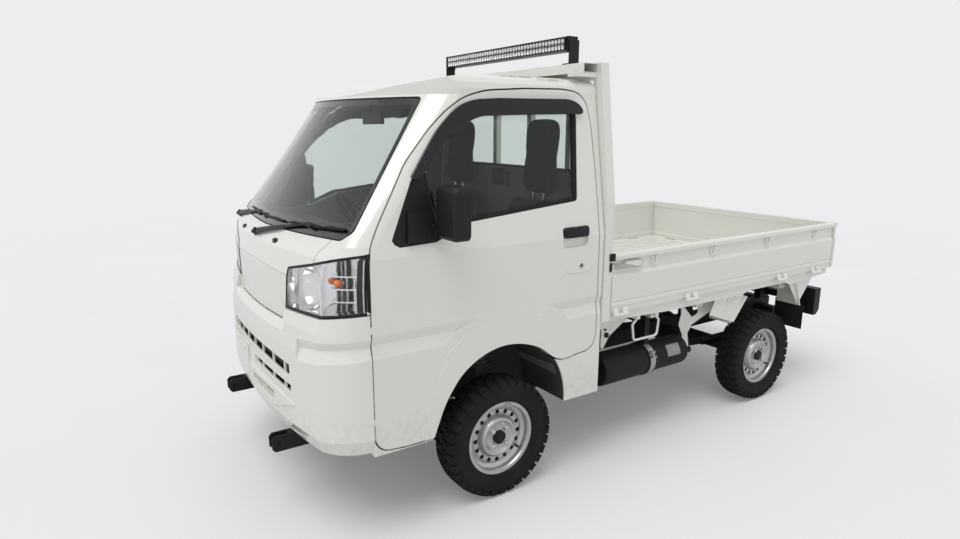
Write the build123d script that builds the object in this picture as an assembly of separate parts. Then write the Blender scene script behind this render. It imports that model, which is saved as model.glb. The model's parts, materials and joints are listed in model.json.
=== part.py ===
from build123d import *
import math
import os

os.makedirs("parts", exist_ok=True)

# Millimetres. X points to the truck's left side, Y to its rear, Z up, and the tyres stand on Z = 0.
# Along Y the sizes count from the middle of the wheelbase; SHIFT_Y then centres the whole truck.

# Main sizes
WHEELBASE = 1900
AXLE_Y = WHEELBASE / 2
TYRE_R = 268.5
FLANGE_R = 166
BEAD_R = 153
SKIN_X = 731
FRONT_END = -1845
REAR_END = 1610
SHIFT_Y = -(FRONT_END + REAR_END) / 2

# Clearances
DOOR_GAP = 6.5
GATE_GAP = 6
PIVOT_GAP = 0.5


def block(x, y, z):
    centre = Pos((x[0] + x[1]) / 2, (y[0] + y[1]) / 2, (z[0] + z[1]) / 2)
    return centre * Box(x[1] - x[0], y[1] - y[0], z[1] - z[0])


def rod_x(radius, x, y, z):
    return Pos((x[0] + x[1]) / 2, y, z) * Rot(0, 90, 0) * Cylinder(radius, x[1] - x[0])


def rod_y(radius, x, y, z):
    return Pos(x, (y[0] + y[1]) / 2, z) * Rot(90, 0, 0) * Cylinder(radius, y[1] - y[0])


def rod_z(radius, x, y, z):
    return Pos(x, y, (z[0] + z[1]) / 2) * Cylinder(radius, z[1] - z[0])


def rod_between(radius, start, end):
    line = Vector(*end) - Vector(*start)
    plane = Plane(origin=start, z_dir=line)
    return plane * Pos(0, 0, line.length / 2) * Cylinder(radius, line.length)


def outline(points, corner=0):
    if corner:
        return make_face(FilletPolyline(*points, radius=corner, close=True))
    return make_face(Polyline(*points, close=True))


def soft_outline(points, most=400, share=0.45):
    """An outline whose corners are tangent arcs, as large as their two runs allow, up to most."""
    corners = []
    for number, point in enumerate(points):
        corner = Vector(*point)
        before = Vector(*points[number - 1]) - corner
        after = Vector(*points[(number + 1) % len(points)]) - corner
        half_turn = (math.pi - math.radians(before.get_angle(after))) / 2
        if half_turn < 0.01:
            continue
        reach = min(share * min(before.length, after.length), most * math.tan(half_turn))
        radius = reach / math.tan(half_turn)
        inward = (before.normalized() + after.normalized()).normalized()
        middle = corner + inward * (radius / math.cos(half_turn) - radius)
        corners.append((corner + before.normalized() * reach, middle, corner + after.normalized() * reach))
    edges = []
    for number, (start, middle, end) in enumerate(corners):
        edges.append(Line(corners[number - 1][2], start))
        edges.append(ThreePointArc(start, middle, end))
    return Face(Wire(edges))


def side_slab(points, x, corner=0):
    face = Plane.YZ.offset(x[0]) * outline(points, corner)
    return extrude(face, amount=x[1] - x[0], dir=(1, 0, 0))


def front_slab(points, y, corner=0):
    face = Plane.XZ.offset(-y[0]) * outline(points, corner)
    return extrude(face, amount=y[1] - y[0], dir=(0, 1, 0))


def plan_slab(points, z, corner=0):
    face = Plane.XY.offset(z[0]) * outline(points, corner)
    return extrude(face, amount=z[1] - z[0], dir=(0, 0, 1))


def mirrored(shape):
    return mirror(shape, about=Plane.YZ)


def both_sides(shape):
    return shape + mirrored(shape)


def save(node, shape):
    solids = shape.solids()
    whole = solids[0] if len(solids) == 1 else Compound(children=list(solids))
    export_step(Pos(0, SHIFT_Y, 0) * whole, "parts/" + node + ".step")


# Cab body: plan sections from the sill to the top of the windscreen.
# Columns: height, half width, Y where the flat side ends, corner X, corner Y, nose Y.
CAB_REAR = -408
CAB_SECTIONS = [
    (372, 731, -1548, 622, -1700, -1768),
    (1035, 731, -1546, 622, -1698, -1766),
    (1130, 731, -1542, 634, -1676, -1750),
    (1178, 723.68, -1520, 668, -1630, -1712),
    (1720, 641, -1118, 562, -1223, -1388),
]
# Roof line along the middle: Y, Z
ROOF_LINE = [
    (-1391, 1719), (-1290, 1756), (-1148, 1788), (-996, 1808), (-800, 1821), (-583, 1826), (-470, 1821), (-408, 1804),
]
# Roof shape across: X, Z
ROOF_EDGE = [(641, 1746), (636, 1768), (622, 1786), (596, 1798), (560, 1806)]
ROOF_CROWN = ROOF_EDGE[-1][1] + 20


def cab_face(row, inset):
    z, half, side_y, corner_x, corner_y, nose_y = row
    half = half - inset
    side_y = side_y + inset
    corner_x = corner_x - inset * 0.7
    corner_y = corner_y + inset * 0.9
    nose_y = nose_y + inset
    rear_y = CAB_REAR - inset * 0.8
    chord = (half - corner_x, side_y - corner_y)
    reach = math.hypot(*chord)
    chord_angle = math.atan2(chord[0], chord[1])
    nose_angle = 2 * math.atan2(corner_y - nose_y, corner_x)
    turn = min(chord_angle, math.pi / 2 - nose_angle - chord_angle)
    bulge = reach / 2 * math.tan(turn / 2)
    middle = ((half + corner_x) / 2 + bulge * chord[1] / reach, (side_y + corner_y) / 2 - bulge * chord[0] / reach)
    with_edges = [
        Line((half, rear_y), (half, side_y)),
        ThreePointArc((half, side_y), middle, (corner_x, corner_y)),
        ThreePointArc((corner_x, corner_y), (0, nose_y), (-corner_x, corner_y)),
        ThreePointArc((-corner_x, corner_y), (-middle[0], middle[1]), (-half, side_y)),
        Line((-half, side_y), (-half, rear_y)),
        Line((-half, rear_y), (half, rear_y)),
    ]
    wire = Wire(with_edges)
    return Plane.XY.offset(z) * Face(wire)


def cab_volume(inset, roof_drop):
    faces = [cab_face(row, inset) for row in CAB_SECTIONS]
    body = Part()
    for low, high in zip(faces[:-1], faces[1:]):
        body = body + loft([low, high], ruled=True)
    cap = extrude(faces[-1], amount=160, dir=(0, 0, 1))
    line = [(y, z - roof_drop) for y, z in ROOF_LINE]
    line = [(-1900, 1500), (-1500, line[0][1] - 34)] + line + [(-300, line[-1][1] - 30), (-300, 1500)]
    crown = [(x - inset, z - roof_drop) for x, z in ROOF_EDGE]
    left = [(x, z) for x, z in crown]
    right = [(-x, z) for x, z in reversed(crown)]
    edges = Polyline((right[-1][0], 1500), (left[0][0], 1500), *left).edges()
    edges = edges + ThreePointArc(left[-1], (0, ROOF_CROWN - roof_drop), right[0]).edges()
    edges = edges + Polyline(*right, (right[-1][0], 1500)).edges()
    across = Plane.XZ.offset(2000) * Face(Wire(edges))
    across = extrude(across, amount=2000, dir=(0, 1, 0))
    cap = cap & side_slab(line, (-700, 700)) & across
    return body + cap


CAB_OUTER = cab_volume(0, 0)
CAB_INNER = cab_volume(40, 30)

# Openings of the cab, each an outline in Y, Z or X, Z
DOOR_EDGE = [
    (-1551, 392), (-1551, 1100), (-1544, 1172), (-1500, 1252), (-1363, 1466), (-1257, 1585),
    (-1181, 1656), (-1105, 1706), (-1000, 1736), (-800, 1749), (-600, 1753), (-520, 1744), (-470, 1708),
    (-451, 1613), (-441, 1406), (-437, 1100), (-436, 670), (-452, 612), (-490, 594), (-640, 580),
    (-690, 600), (-764, 661), (-868, 700), (-975, 709), (-1080, 681), (-1172, 622), (-1245, 521),
    (-1294, 400), (-1300, 381), (-1420, 381),
]
WINDOW_EDGE = [
    (-530, 1640), (-556, 1285), (-1117, 1235), (-1274, 1172), (-1428, 1166), (-1462, 1186),
    (-1362, 1400), (-1238, 1572), (-1118, 1672), (-1060, 1690), (-575, 1702), (-540, 1690),
]
SCREEN_EDGE = [(-558, 1712), (558, 1712), (672, 1224), (640, 1196), (0, 1187), (-640, 1196), (-672, 1224)]
REAR_GLASS_EDGE = [(-540, 1665), (540, 1665), (560, 1400), (-560, 1400)]
LAMP_EDGE = [
    (349, 903), (362, 985), (377, 1068), (550, 1107), (681, 1141), (760, 1162),
    (760, 937), (731, 934), (688, 928), (610, 915),
]
PANEL_EDGE = [(-313, 851), (313, 851), (344, 905), (369, 1036), (0, 1048), (-369, 1036), (-344, 905)]
BUMPER_REAR = -1557
WHEELHOUSE_R = 345
WHEELHOUSE_Y = -960
WHEELHOUSE_Z = 390
WHEELHOUSE_X = 415
FLOOR_Z = 520
SEAT_DECK_Z = 800
SEAT_DECK_Y = -1050
DOOR_DEPTH = 45


def grown_face(face, amount):
    return offset(face, amount=amount, kind=Kind.INTERSECTION)


def grown(points, amount):
    return grown_face(outline(points), amount)


def side_cut(face, x):
    return extrude(Plane.YZ.offset(x[0]) * face, amount=x[1] - x[0], dir=(1, 0, 0))


def front_cut(face, y):
    return extrude(Plane.XZ.offset(-y[0]) * face, amount=y[1] - y[0], dir=(0, 1, 0))


door_face = soft_outline(DOOR_EDGE)
door_hole = grown_face(door_face, DOOR_GAP)

# Bumper: plan sections like the cab's, but each its own shape
BUMPER_SECTIONS = [
    (386, 716, -1545, 600, -1716, -1772),
    (446, 735, -1545, 622, -1738, -1800),
    (760, 735, -1545, 626, -1734, -1798),
    (855, 732, -1545, 622, -1722, -1788),
    (938, 731, -1545, 622, -1699, -1767),
]
BUMPER_SKIN = 26


def bumper_volume(inset):
    faces = [cab_face(row, inset) for row in BUMPER_SECTIONS]
    body = Part()
    for low, high in zip(faces[:-1], faces[1:]):
        body = body + loft([low, high], ruled=True)
    return body & block((-760, 760), (-1900, BUMPER_REAR), (300, 1000))


def front_zone(points, corner=0):
    return front_slab(points, (-1900, -1500), corner)


BUMPER_OUTER = bumper_volume(0)
BUMPER_ROOM = bumper_volume(BUMPER_SKIN)
half_top = [(760, 932), (731, 930), (688, 924), (610, 911), (350, 899), (317, 847)]
bumper_top = [(-760, 300), (760, 300)] + half_top + [(-x, z) for x, z in reversed(half_top)]
bumper = (BUMPER_OUTER - BUMPER_ROOM) & front_zone(bumper_top)

# Ledge that slopes back to the front panel
LEDGE_EDGE = [(-353, 811), (353, 811), (376, 838), (352, 905), (-352, 905), (-376, 838)]
LEDGE_LOW = (811, 733, -1545, 624, -1729, -1793)
LEDGE_HIGH = (851, 731, -1546, 622, -1703, -1771)
LEDGE_TOP = (910, 731, -1546, 622, -1703, -1771)
ledge_room = loft([cab_face(LEDGE_LOW, 0), cab_face(LEDGE_HIGH, 0)], ruled=True)
ledge_room = ledge_room + loft([cab_face(LEDGE_HIGH, 0), cab_face(LEDGE_TOP, 0)], ruled=True)
bumper = bumper - (front_zone(LEDGE_EDGE) - ledge_room)

# Groove round the corner: it falls towards the middle, deepest at its valley
GROOVE_DROP = math.radians(7)
GROOVE_DEPTH = 12
# Columns: height at the side, how far in
GROOVE_ROWS = [(752, -2), (809, GROOVE_DEPTH), (843, -2)]


def tilted_face(row, inset, drop):
    flat = cab_face(row, inset)
    outer = flat.edges()
    plane = Plane(origin=(SKIN_X, 0, row[0]), x_dir=(math.cos(drop), 0, math.sin(drop)),
                  z_dir=(-math.sin(drop), 0, math.cos(drop)))
    moved = [Pos(-SKIN_X, 0, -row[0]) * edge for edge in outer]
    return plane * Face(Wire(moved))


def bumper_row(z):
    for low, high in zip(BUMPER_SECTIONS[:-1], BUMPER_SECTIONS[1:]):
        if low[0] <= z <= high[0]:
            share = (z - low[0]) / (high[0] - low[0])
            return [a + (b - a) * share for a, b in zip(low, high)]
    return list(BUMPER_SECTIONS[-1])


valley_faces = [tilted_face(bumper_row(z), inset, GROOVE_DROP) for z, inset in GROOVE_ROWS]
valley = loft(valley_faces[:2], ruled=True) + loft(valley_faces[1:], ruled=True)
GROOVE_ZONE = [(486, 900), (486, 700), (500, 690), (780, 700), (780, 900)]
groove_bounds = loft([tilted_face(bumper_row(z), -20, GROOVE_DROP) for z in (752, 843)], ruled=True)
corner_groove = (groove_bounds - valley) & front_zone(GROOVE_ZONE)
bumper = bumper - both_sides(corner_groove)

# Raised chin and lower lip, and the panel that takes the number plate
CHIN_EDGE = [(-456, 533), (-320, 552), (0, 558), (320, 552), (456, 533), (267, 471), (-267, 471)]
LIP_EDGE = [(300, 387), (434, 397), (627, 440), (690, 448), (760, 474), (760, 387)]
PLATE_EDGE = [(-392, 636), (-72, 640), (-84, 486), (-372, 480)]
chin = (bumper_volume(-5) - bumper_volume(10)) & front_zone(CHIN_EDGE)
lip = (bumper_volume(-3) - bumper_volume(10)) & both_sides(front_zone(LIP_EDGE))
plate_panel = (bumper_volume(-7) - bumper_volume(10)) & front_zone(PLATE_EDGE)
bumper = bumper + chin + lip + plate_panel
for hole_x in (-330, -140):
    bumper = bumper - block((hole_x - 9, hole_x + 9), (-1900, -1770), (590, 606))

# Grille rows. Columns: cell edges in X, low edge in the middle and at the end, high edge likewise
GRILLE_ROWS = [
    ([-416, -358, -242, -118, 0, 118, 242, 358, 416], 655, 636, 700, 686),
    ([28, 108, 239, 356, 422], 588, 570, 616, 603),
    ([0, 132, 264], 508, 502, 528, 520),
]
GRILLE_END = 416
GRILLE_WEB = 10
GRILLE_DEPTH = 7
POCKET_DEPTH = 9


def bent(x, middle, end):
    return middle + (end - middle) * (x / GRILLE_END) ** 2


def row_outline(x_from, x_to, row, grow):
    low = (row[1] - grow, row[2] - grow)
    high = (row[3] + grow, row[4] + grow)
    steps = [x_from + (x_to - x_from) * part / 4 for part in range(5)] if x_to - x_from > 200 else [x_from, x_to]
    bottom = [(x, bent(x, *low)) for x in steps]
    top = [(x, bent(x, *high)) for x in reversed(steps)]
    return bottom + top


pockets = Part()
cells = Part()
for row in GRILLE_ROWS:
    edges = row[0]
    pockets = pockets + front_zone(row_outline(edges[0] - 6, edges[-1] + 6, row, 6))
    for left, right in zip(edges[:-1], edges[1:]):
        cells = cells + front_zone(row_outline(left + GRILLE_WEB / 2, right - GRILLE_WEB / 2, row, 0))
bumper = bumper - (pockets & (bumper_volume(-9) - bumper_volume(POCKET_DEPTH)))
bumper = bumper - (cells & block((-760, 760), (-1900, -1600), (300, 1000)))
# Behind the cells the moulding is thin
GRILLE_BACK = ((-440, 440), (-1900, -1600), (500, 706))
bumper = bumper - (block(*GRILLE_BACK) & bumper_volume(POCKET_DEPTH + GRILLE_DEPTH))

# Door hinge pins stand in the front shut line
HINGE_PIN_Y = -1554.25
for pin_z in (500, 860):
    bumper = bumper + both_sides(rod_z(2.9, SKIN_X, HINGE_PIN_Y, (pin_z, pin_z + 26)))

# Grille backing: a dark tray behind the cells
GRILLE_TRAY = ((-520, 520), (-1900, -1600), (494, 712))
grille = (BUMPER_ROOM - bumper_volume(BUMPER_SKIN + 8)) & block(*GRILLE_TRAY)

# Front panel between the headlamps, with a flange that closes the seam round it
panel_face = outline(PANEL_EDGE)
PANEL_SEAM = 2
front_panel = front_cut(grown(PANEL_EDGE, -PANEL_SEAM), (-1900, -1600)) & (cab_volume(1, 0) - cab_volume(20, 0))
front_panel = front_panel + (front_cut(panel_face, (-1900, -1600)) & (cab_volume(12, 0) - cab_volume(24, 0)))

# Headlamps: clear cover outside, two-part cup behind it with a round reflector and fins
lamp_face = outline(LAMP_EDGE)
lamp_room = front_cut(lamp_face, (-1900, BUMPER_REAR))
LAMP_RIM = 9
LAMP_DIVIDER = (611, 621)
lamp_inner = front_cut(grown(LAMP_EDGE, -LAMP_RIM), (-1900, BUMPER_REAR - LAMP_RIM))
lamp_lens = front_cut(grown(LAMP_EDGE, -3), (-1900, BUMPER_REAR)) & (CAB_OUTER - cab_volume(4, 0))
lamp_cup = lamp_room & (cab_volume(4, 0) - cab_volume(105, 0))
main_room = lamp_inner & block((300, LAMP_DIVIDER[0]), (-1900, -1500), (800, 1200))
side_room = lamp_inner & block((LAMP_DIVIDER[1], 800), (-1900, -1500), (800, 1200))
lamp_cup = lamp_cup - (main_room & (cab_volume(3, 0) - cab_volume(48, 0)))
lamp_cup = lamp_cup - (side_room & (cab_volume(3, 0) - cab_volume(80, 0)))
REFLECTOR_R = 92
reflector = Pos(487, -1716, 1000) * Sphere(REFLECTOR_R)
lamp_cup = lamp_cup - (reflector & main_room & (cab_volume(3, 0) - cab_volume(98, 0)))
for fin_z in (975, 1022, 1069):
    fin = block((LAMP_DIVIDER[1] - 2, 712), (-1700, -1560), (fin_z - 2.5, fin_z + 2.5))
    lamp_cup = lamp_cup + (fin & (cab_volume(30, 0) - cab_volume(84, 0)))

# Cab shell: outer volume less the rooms inside and below
inner_room = CAB_INNER & block((-800, 800), (-1900, -300), (FLOOR_Z, 1900))
inner_room = inner_room - block((-800, 800), (SEAT_DECK_Y, -300), (400, SEAT_DECK_Z))
inner_room = inner_room - block((-800, 800), (-1900, -1530), (400, 940))
bulge = rod_x(WHEELHOUSE_R + 28, (WHEELHOUSE_X - 20, 800), WHEELHOUSE_Y, WHEELHOUSE_Z)
inner_room = inner_room - both_sides(bulge)
shell = CAB_OUTER - inner_room
shell = shell - both_sides(rod_x(WHEELHOUSE_R, (WHEELHOUSE_X, 800), WHEELHOUSE_Y, WHEELHOUSE_Z))
shell = shell - block((-395, 395), (-1040, -440), (300, SEAT_DECK_Z - 30))
shell = shell - both_sides(block((415, 655), (-590, -440), (300, SEAT_DECK_Z - 30)))
shell = shell - block((-395, 395), (-1500, -1000), (300, FLOOR_Z - 28))
shell = shell - block((-655, 655), (-1600, -1335), (300, FLOOR_Z - 28))
shell = shell - block((-800, 800), (-1900, BUMPER_REAR), (300, 936))
shell = shell - both_sides(lamp_room)
shell = shell - front_cut(panel_face, (-1900, -1690))
shell = shell - block((-380, 380), (-450, -400), (300, 560))
shell = shell - both_sides(side_cut(door_hole, (SKIN_X - DOOR_DEPTH - 8, 800)))
upper_cut = side_cut(door_hole, (560, 800)) & block((500, 800), (-1900, 0), (1000, 1900))
shell = shell - both_sides(upper_cut)
screen_face = outline(SCREEN_EDGE, 24)
screen_cut = front_cut(screen_face, (-1850, -1100))
shell = shell - screen_cut
rear_face = outline(REAR_GLASS_EDGE, 30)
rear_cut = front_cut(rear_face, (-480, -380))
shell = shell - rear_cut

# Thin seams beside the cowl and the washer nozzles
SEAM_DEPTH = 3
seam_skin = CAB_OUTER - cab_volume(SEAM_DEPTH, SEAM_DEPTH)
cowl_seam = front_slab([(557, 1100), (561, 1100), (564, 1150), (602, 1205), (598, 1205), (560, 1152)], (-1800, -1500))
shell = shell - (both_sides(cowl_seam) & seam_skin)
for nozzle_x, nozzle_z in ((-292, 1142), (204, 1146)):
    nozzle = front_slab([(nozzle_x - 17, nozzle_z - 9), (nozzle_x + 17, nozzle_z - 9), (nozzle_x + 17, nozzle_z + 9),
                         (nozzle_x - 17, nozzle_z + 9)], (-1800, -1650), 5)
    shell = shell - (nozzle & (CAB_OUTER - cab_volume(9, 9)))

windscreen = screen_cut & (CAB_OUTER - cab_volume(6, 6))
windscreen = windscreen & block((-700, 700), (-1850, -1150), (1150, 1713))
rear_window = front_cut(rear_face, (-430, -424))

# Doors: the cab's own skin inside the door outline
door_sheet = door_face - outline(WINDOW_EDGE, 16)
door_zone = front_slab([(SKIN_X - DOOR_DEPTH, 300), (800, 300), (800, 1800), (641 - DOOR_DEPTH - 5, 1753),
                        (641 - DOOR_DEPTH, 1720), (SKIN_X - DOOR_DEPTH, 1130)], (-1700, -300))
door = CAB_OUTER & side_cut(door_sheet, (500, 800)) & door_zone
LEAN = (731 - 641) / (1720 - 1130)


def lean_slab(points, out_from, out_to, soft=False):
    angle = math.atan(LEAN)
    plane = Plane(origin=(SKIN_X, 0, 1130), x_dir=(0, 1, 0), z_dir=(math.cos(angle), 0, math.sin(angle)))
    flat = [(y, (z - 1130) / math.cos(angle)) for y, z in points]
    face = plane.offset(out_from) * (soft_outline(flat) if soft else outline(flat))
    return extrude(face, amount=out_to - out_from, dir=(math.cos(angle), 0, math.sin(angle)))


# Crease below the belt, broken by the raised arch
FLARE_EDGE = [
    (-1372, 381), (-1364, 513), (-1320, 611), (-1264, 749), (-1192, 807), (-1078, 852), (-905, 868),
    (-738, 854), (-669, 824), (-606, 759), (-562, 686), (-535, 560), (-535, 381),
]
CREASE_EDGE = [(760, 848), (731, 848), (721, 811), (731, 760), (760, 760)]
crease = front_slab(CREASE_EDGE, (-1600, -390))
crease = crease - side_slab(FLARE_EDGE, (600, 800))
flare_band = side_slab(FLARE_EDGE, (SKIN_X, SKIN_X + 5)) & side_cut(door_face, (400, 800))
inner_band = [(y * 0.93 - 66, z * 0.93 + 16) for y, z in FLARE_EDGE]
flare_band = flare_band & side_slab(inner_band, (600, 800))
door = (door - crease) + flare_band
handle_cup = side_slab([(-649, 1172), (-503, 1176), (-503, 1096), (-520, 1086), (-632, 1084), (-649, 1096)],
                       (SKIN_X - 16, 760), 8)
door = door - handle_cup
shell = shell - both_sides(crease)

GLASS_EDGE = [
    (-530, 1640), (-556, 1285), (-1117, 1235), (-1270, 1174), (-1300, 1440), (-1316, 1468),
    (-1238, 1572), (-1118, 1672), (-1060, 1690), (-575, 1702), (-540, 1690),
]
door_glass = lean_slab(GLASS_EDGE, -22, -18)
sail_edge = [(-1428, 1166), (-1462, 1186), (-1362, 1400), (-1318, 1462), (-1304, 1440), (-1276, 1173)]
sail = lean_slab(sail_edge, -18, 0) & side_cut(outline(WINDOW_EDGE, 16), (500, 800))
door_glass = door_glass & side_cut(outline(WINDOW_EDGE, 16), (400, 800))

# Mirror: arm from the sail panel and a rounded box
MIRROR_X = (742, 892)
MIRROR_Y = (-1292, -1226)
MIRROR_Z = (1192, 1390)
MIRROR_CORNER = 30
MIRROR_ROUND = 20
MIRROR_LIP = 7


def mirror_outline(inset):
    low_x, high_x = MIRROR_X[0] + inset, MIRROR_X[1] - inset
    low_z, high_z = MIRROR_Z[0] + inset, MIRROR_Z[1] - inset
    return [(low_x, low_z), (high_x, low_z), (high_x, high_z), (low_x, high_z)]


mirror_box = front_slab(mirror_outline(0), MIRROR_Y, MIRROR_CORNER)
mirror_box = fillet(mirror_box.edges().group_by(Axis.Y)[0], MIRROR_ROUND)
mirror_glass_pocket = front_slab(mirror_outline(MIRROR_LIP), (MIRROR_Y[1] - 3, MIRROR_Y[1] + 5),
                                 MIRROR_CORNER - MIRROR_LIP)
mirror_box = mirror_box - mirror_glass_pocket
mirror_arm = block((708, 764), (-1300, -1266), (1200, 1244))
mirror_root = lean_slab([(-1400, 1180), (-1390, 1290), (-1290, 1290), (-1280, 1180)], 0, 14)
door_trim = sail + mirror_root + mirror_arm + mirror_box
handle = block((SKIN_X - 16, SKIN_X + 2), (-640, -512), (1130, 1168))
door = door + handle

# Rain visor over the window
VISOR_OUT = [
    (-1368, 1406), (-1307, 1493), (-1244, 1579), (-1183, 1638), (-1122, 1681), (-1062, 1700),
    (-940, 1708), (-571, 1713), (-518, 1694), (-491, 1654),
]
VISOR_IN = [
    (-536, 1651), (-1023, 1640), (-1100, 1615), (-1161, 1579), (-1237, 1515), (-1323, 1410),
]
VISOR_CUT = [
    (-540, 1560), (-1000, 1560), (-1090, 1500), (-1150, 1460), (-1200, 1400), (-1250, 1300), (-1350, 1300),
    (-1348, 1408), (-1290, 1490), (-1230, 1568), (-1172, 1624), (-1116, 1666), (-1060, 1688), (-575, 1699),
    (-530, 1686), (-510, 1650),
]
visor = lean_slab(VISOR_OUT + VISOR_IN, 0.3, 15, soft=True) - lean_slab(VISOR_CUT, -5, 12.5, soft=True)

# Inside of the cab
dash_line = [
    (-1660, 1050), (-1640, 1128), (-1500, 1158), (-1350, 1150), (-1284, 1108), (-1270, 1000),
    (-1300, 880), (-1400, 850), (-1500, 850), (-1526, 960),
]
dashboard = side_slab(dash_line, (-668, 668)) & cab_volume(52, 60)
dashboard = dashboard - both_sides(front_cut(lamp_face, (-1900, -1430)) & block((300, 800), (-1900, -1430), (800, 1200)))
WHEEL_SEAT_X = -330
column_low = (WHEEL_SEAT_X, -1290, 1010)
column_top = (WHEEL_SEAT_X, -1130, 1120)
steer_line = Vector(*column_top) - Vector(*column_low)
steer_plane = Plane(origin=column_top, z_dir=steer_line)
steering_wheel = steer_plane * Torus(172, 13)
steering_wheel = steering_wheel + steer_plane * Pos(0, 0, -14) * Cylinder(48, 34)
for angle in (0, 180, 270):
    steering_wheel = steering_wheel + steer_plane * Rot(0, 0, angle) * Pos(105, 0, -4) * Box(150, 30, 12)
steering_wheel = steering_wheel + (rod_between(24, column_low, column_top) - dashboard)

# Seats: X of the middle, half width
SEATS = [(390, 215), (-330, 235)]
seats = Part()
for seat_x, seat_half in SEATS:
    wide = (seat_x - seat_half, seat_x + seat_half)
    cushion = side_slab([(-1010, 836), (-1010, 930), (-985, 962), (-620, 940), (-560, 836)], wide)
    back = side_slab([(-640, 930), (-560, 925), (-478, 1270), (-548, 1284)], wide)
    head = side_slab([(-566, 1286), (-480, 1286), (-452, 1632), (-528, 1640)], (seat_x - 88, seat_x + 88))
    neck = side_slab([(-548, 1262), (-490, 1262), (-484, 1300), (-546, 1300)], (seat_x - 60, seat_x + 60))
    seats = seats + cushion + back + head + neck
    seats = seats + block((wide[0] + 30, wide[1] - 30), (-980, -600), (SEAT_DECK_Z, 840))
MIRROR_DROP = 158
mirror_top = ROOF_CROWN - MIRROR_DROP
mirror_stalk = rod_between(6, (0, -1190, mirror_top - 8), (0, -1235, ROOF_CROWN - 26)) & CAB_INNER
inner_mirror = block((-100, 100), (-1196, -1178), (mirror_top - 60, mirror_top)) + mirror_stalk

# Wipers. Columns: pivot X and Z, X and Z where the arm holds the blade, blade from and to in X
WIPERS = [
    (-656, 1161, -95, 1236, -330, 198),
    (-39, 1154, 430, 1240, 262, 640),
]
BLADE_DROP = 12
BLADE_STEPS = 4


def nose_y(x, z):
    low, top = CAB_SECTIONS[3], CAB_SECTIONS[4]
    if z < low[0]:
        low, top = CAB_SECTIONS[2], CAB_SECTIONS[3]
    share = (z - low[0]) / (top[0] - low[0])
    half, edge, nose = [low[column] + share * (top[column] - low[column]) for column in (3, 4, 5)]
    sag = edge - nose
    radius = (half * half + sag * sag) / (2 * sag)
    return nose + radius - math.sqrt(radius * radius - x * x)


def on_screen(x, z, off):
    return (x, nose_y(x, z) - off, z)


wiper_arms = Part()
for pivot_x, pivot_z, hold_x, hold_z, blade_from, blade_to in WIPERS:
    base = on_screen(pivot_x, pivot_z, 12)
    hold = on_screen(hold_x, hold_z, 22)
    low_base = (base[0], base[1] + 26, base[2] - 22)
    wiper_arms = wiper_arms + rod_between(15, base, low_base) + rod_between(7, base, hold)
    holder = on_screen(hold_x, hold_z - BLADE_DROP, 4)
    wiper_arms = wiper_arms + rod_between(6, hold, holder)
    for step in range(BLADE_STEPS):
        ends = [blade_from + (blade_to - blade_from) * (step + more) / BLADE_STEPS for more in (0, 1)]
        start, end = [on_screen(x, bent(x, 1222, 1228), 7) for x in ends]
        wiper_arms = wiper_arms + rod_between(6.5, start, end)
wiper_arms = wiper_arms - CAB_OUTER

# Chassis: rails, cross members, arms, tow brackets
RAIL_X = (312, 368)
RAIL_Z = (400, 480)
frame = both_sides(block(RAIL_X, (-1560, 1540), RAIL_Z))
for member_y in (-1530, -1180, 60, 560, 1240, 1510):
    frame = frame + block((-330, 330), (member_y - 30, member_y + 30), (RAIL_Z[0] + 6, RAIL_Z[1] - 6))
frame = frame + block((-330, 330), (-470, -410), (262, 300))
frame = frame + both_sides(block((300, 330), (-470, -410), (262, 410)))
for mount_y in (-1440, -1200, -460):
    frame = frame + both_sides(rod_z(26, 340, mount_y, (RAIL_Z[1] - 5, FLOOR_Z - 28 if mount_y < -1000 else 500)))
for post_y in (-300, 300, 700, 1200, 1480):
    frame = frame + both_sides(block((316, 364), (post_y - 40, post_y + 40), (RAIL_Z[1] - 5, 560)))
TOW_EDGE = [(FRONT_END + 12, 318), (FRONT_END, 330), (FRONT_END, 372), (FRONT_END + 12, 384), (-1540, 384), (-1540, 318)]
tow = side_slab(TOW_EDGE, (335, 343)) + side_slab(TOW_EDGE, (377, 385))
tow = tow + block((335, 385), (FRONT_END + 70, -1540), (376, 384)) + block((335, 368), (-1560, -1540), (376, 400))
tow_brackets = both_sides(tow - rod_x(9, (320, 400), FRONT_END + 28, 351))
KNEE_LOW = (572, 170)
KNEE_TOP = (490, 720)
arm_y = -AXLE_Y
lower_arm = plan_slab([(300, arm_y - 150), (340, arm_y - 150), (560, arm_y - 30), (585, arm_y), (560, arm_y + 30),
                       (340, arm_y + 90), (300, arm_y + 90)], (152, 176))
sub_frame = block((-330, 330), (arm_y - 160, arm_y + 100), (150, 210))
sub_posts = both_sides(block((280, 330), (arm_y - 160, arm_y - 110), (200, RAIL_Z[0])))
sub_posts = sub_posts + both_sides(block((280, 330), (arm_y + 50, arm_y + 100), (200, RAIL_Z[0])))
front_subframe = sub_frame + sub_posts + both_sides(lower_arm)
frame = frame + block((-535, 535), (1490, 1530), (500, 545)) + both_sides(block((316, 364), (1490, 1530), (470, 545)))

engine_block = block((-262, 240), (-1000, -520), (300, 730)) + block((-150, 130), (-520, -180), (300, 520))

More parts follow.
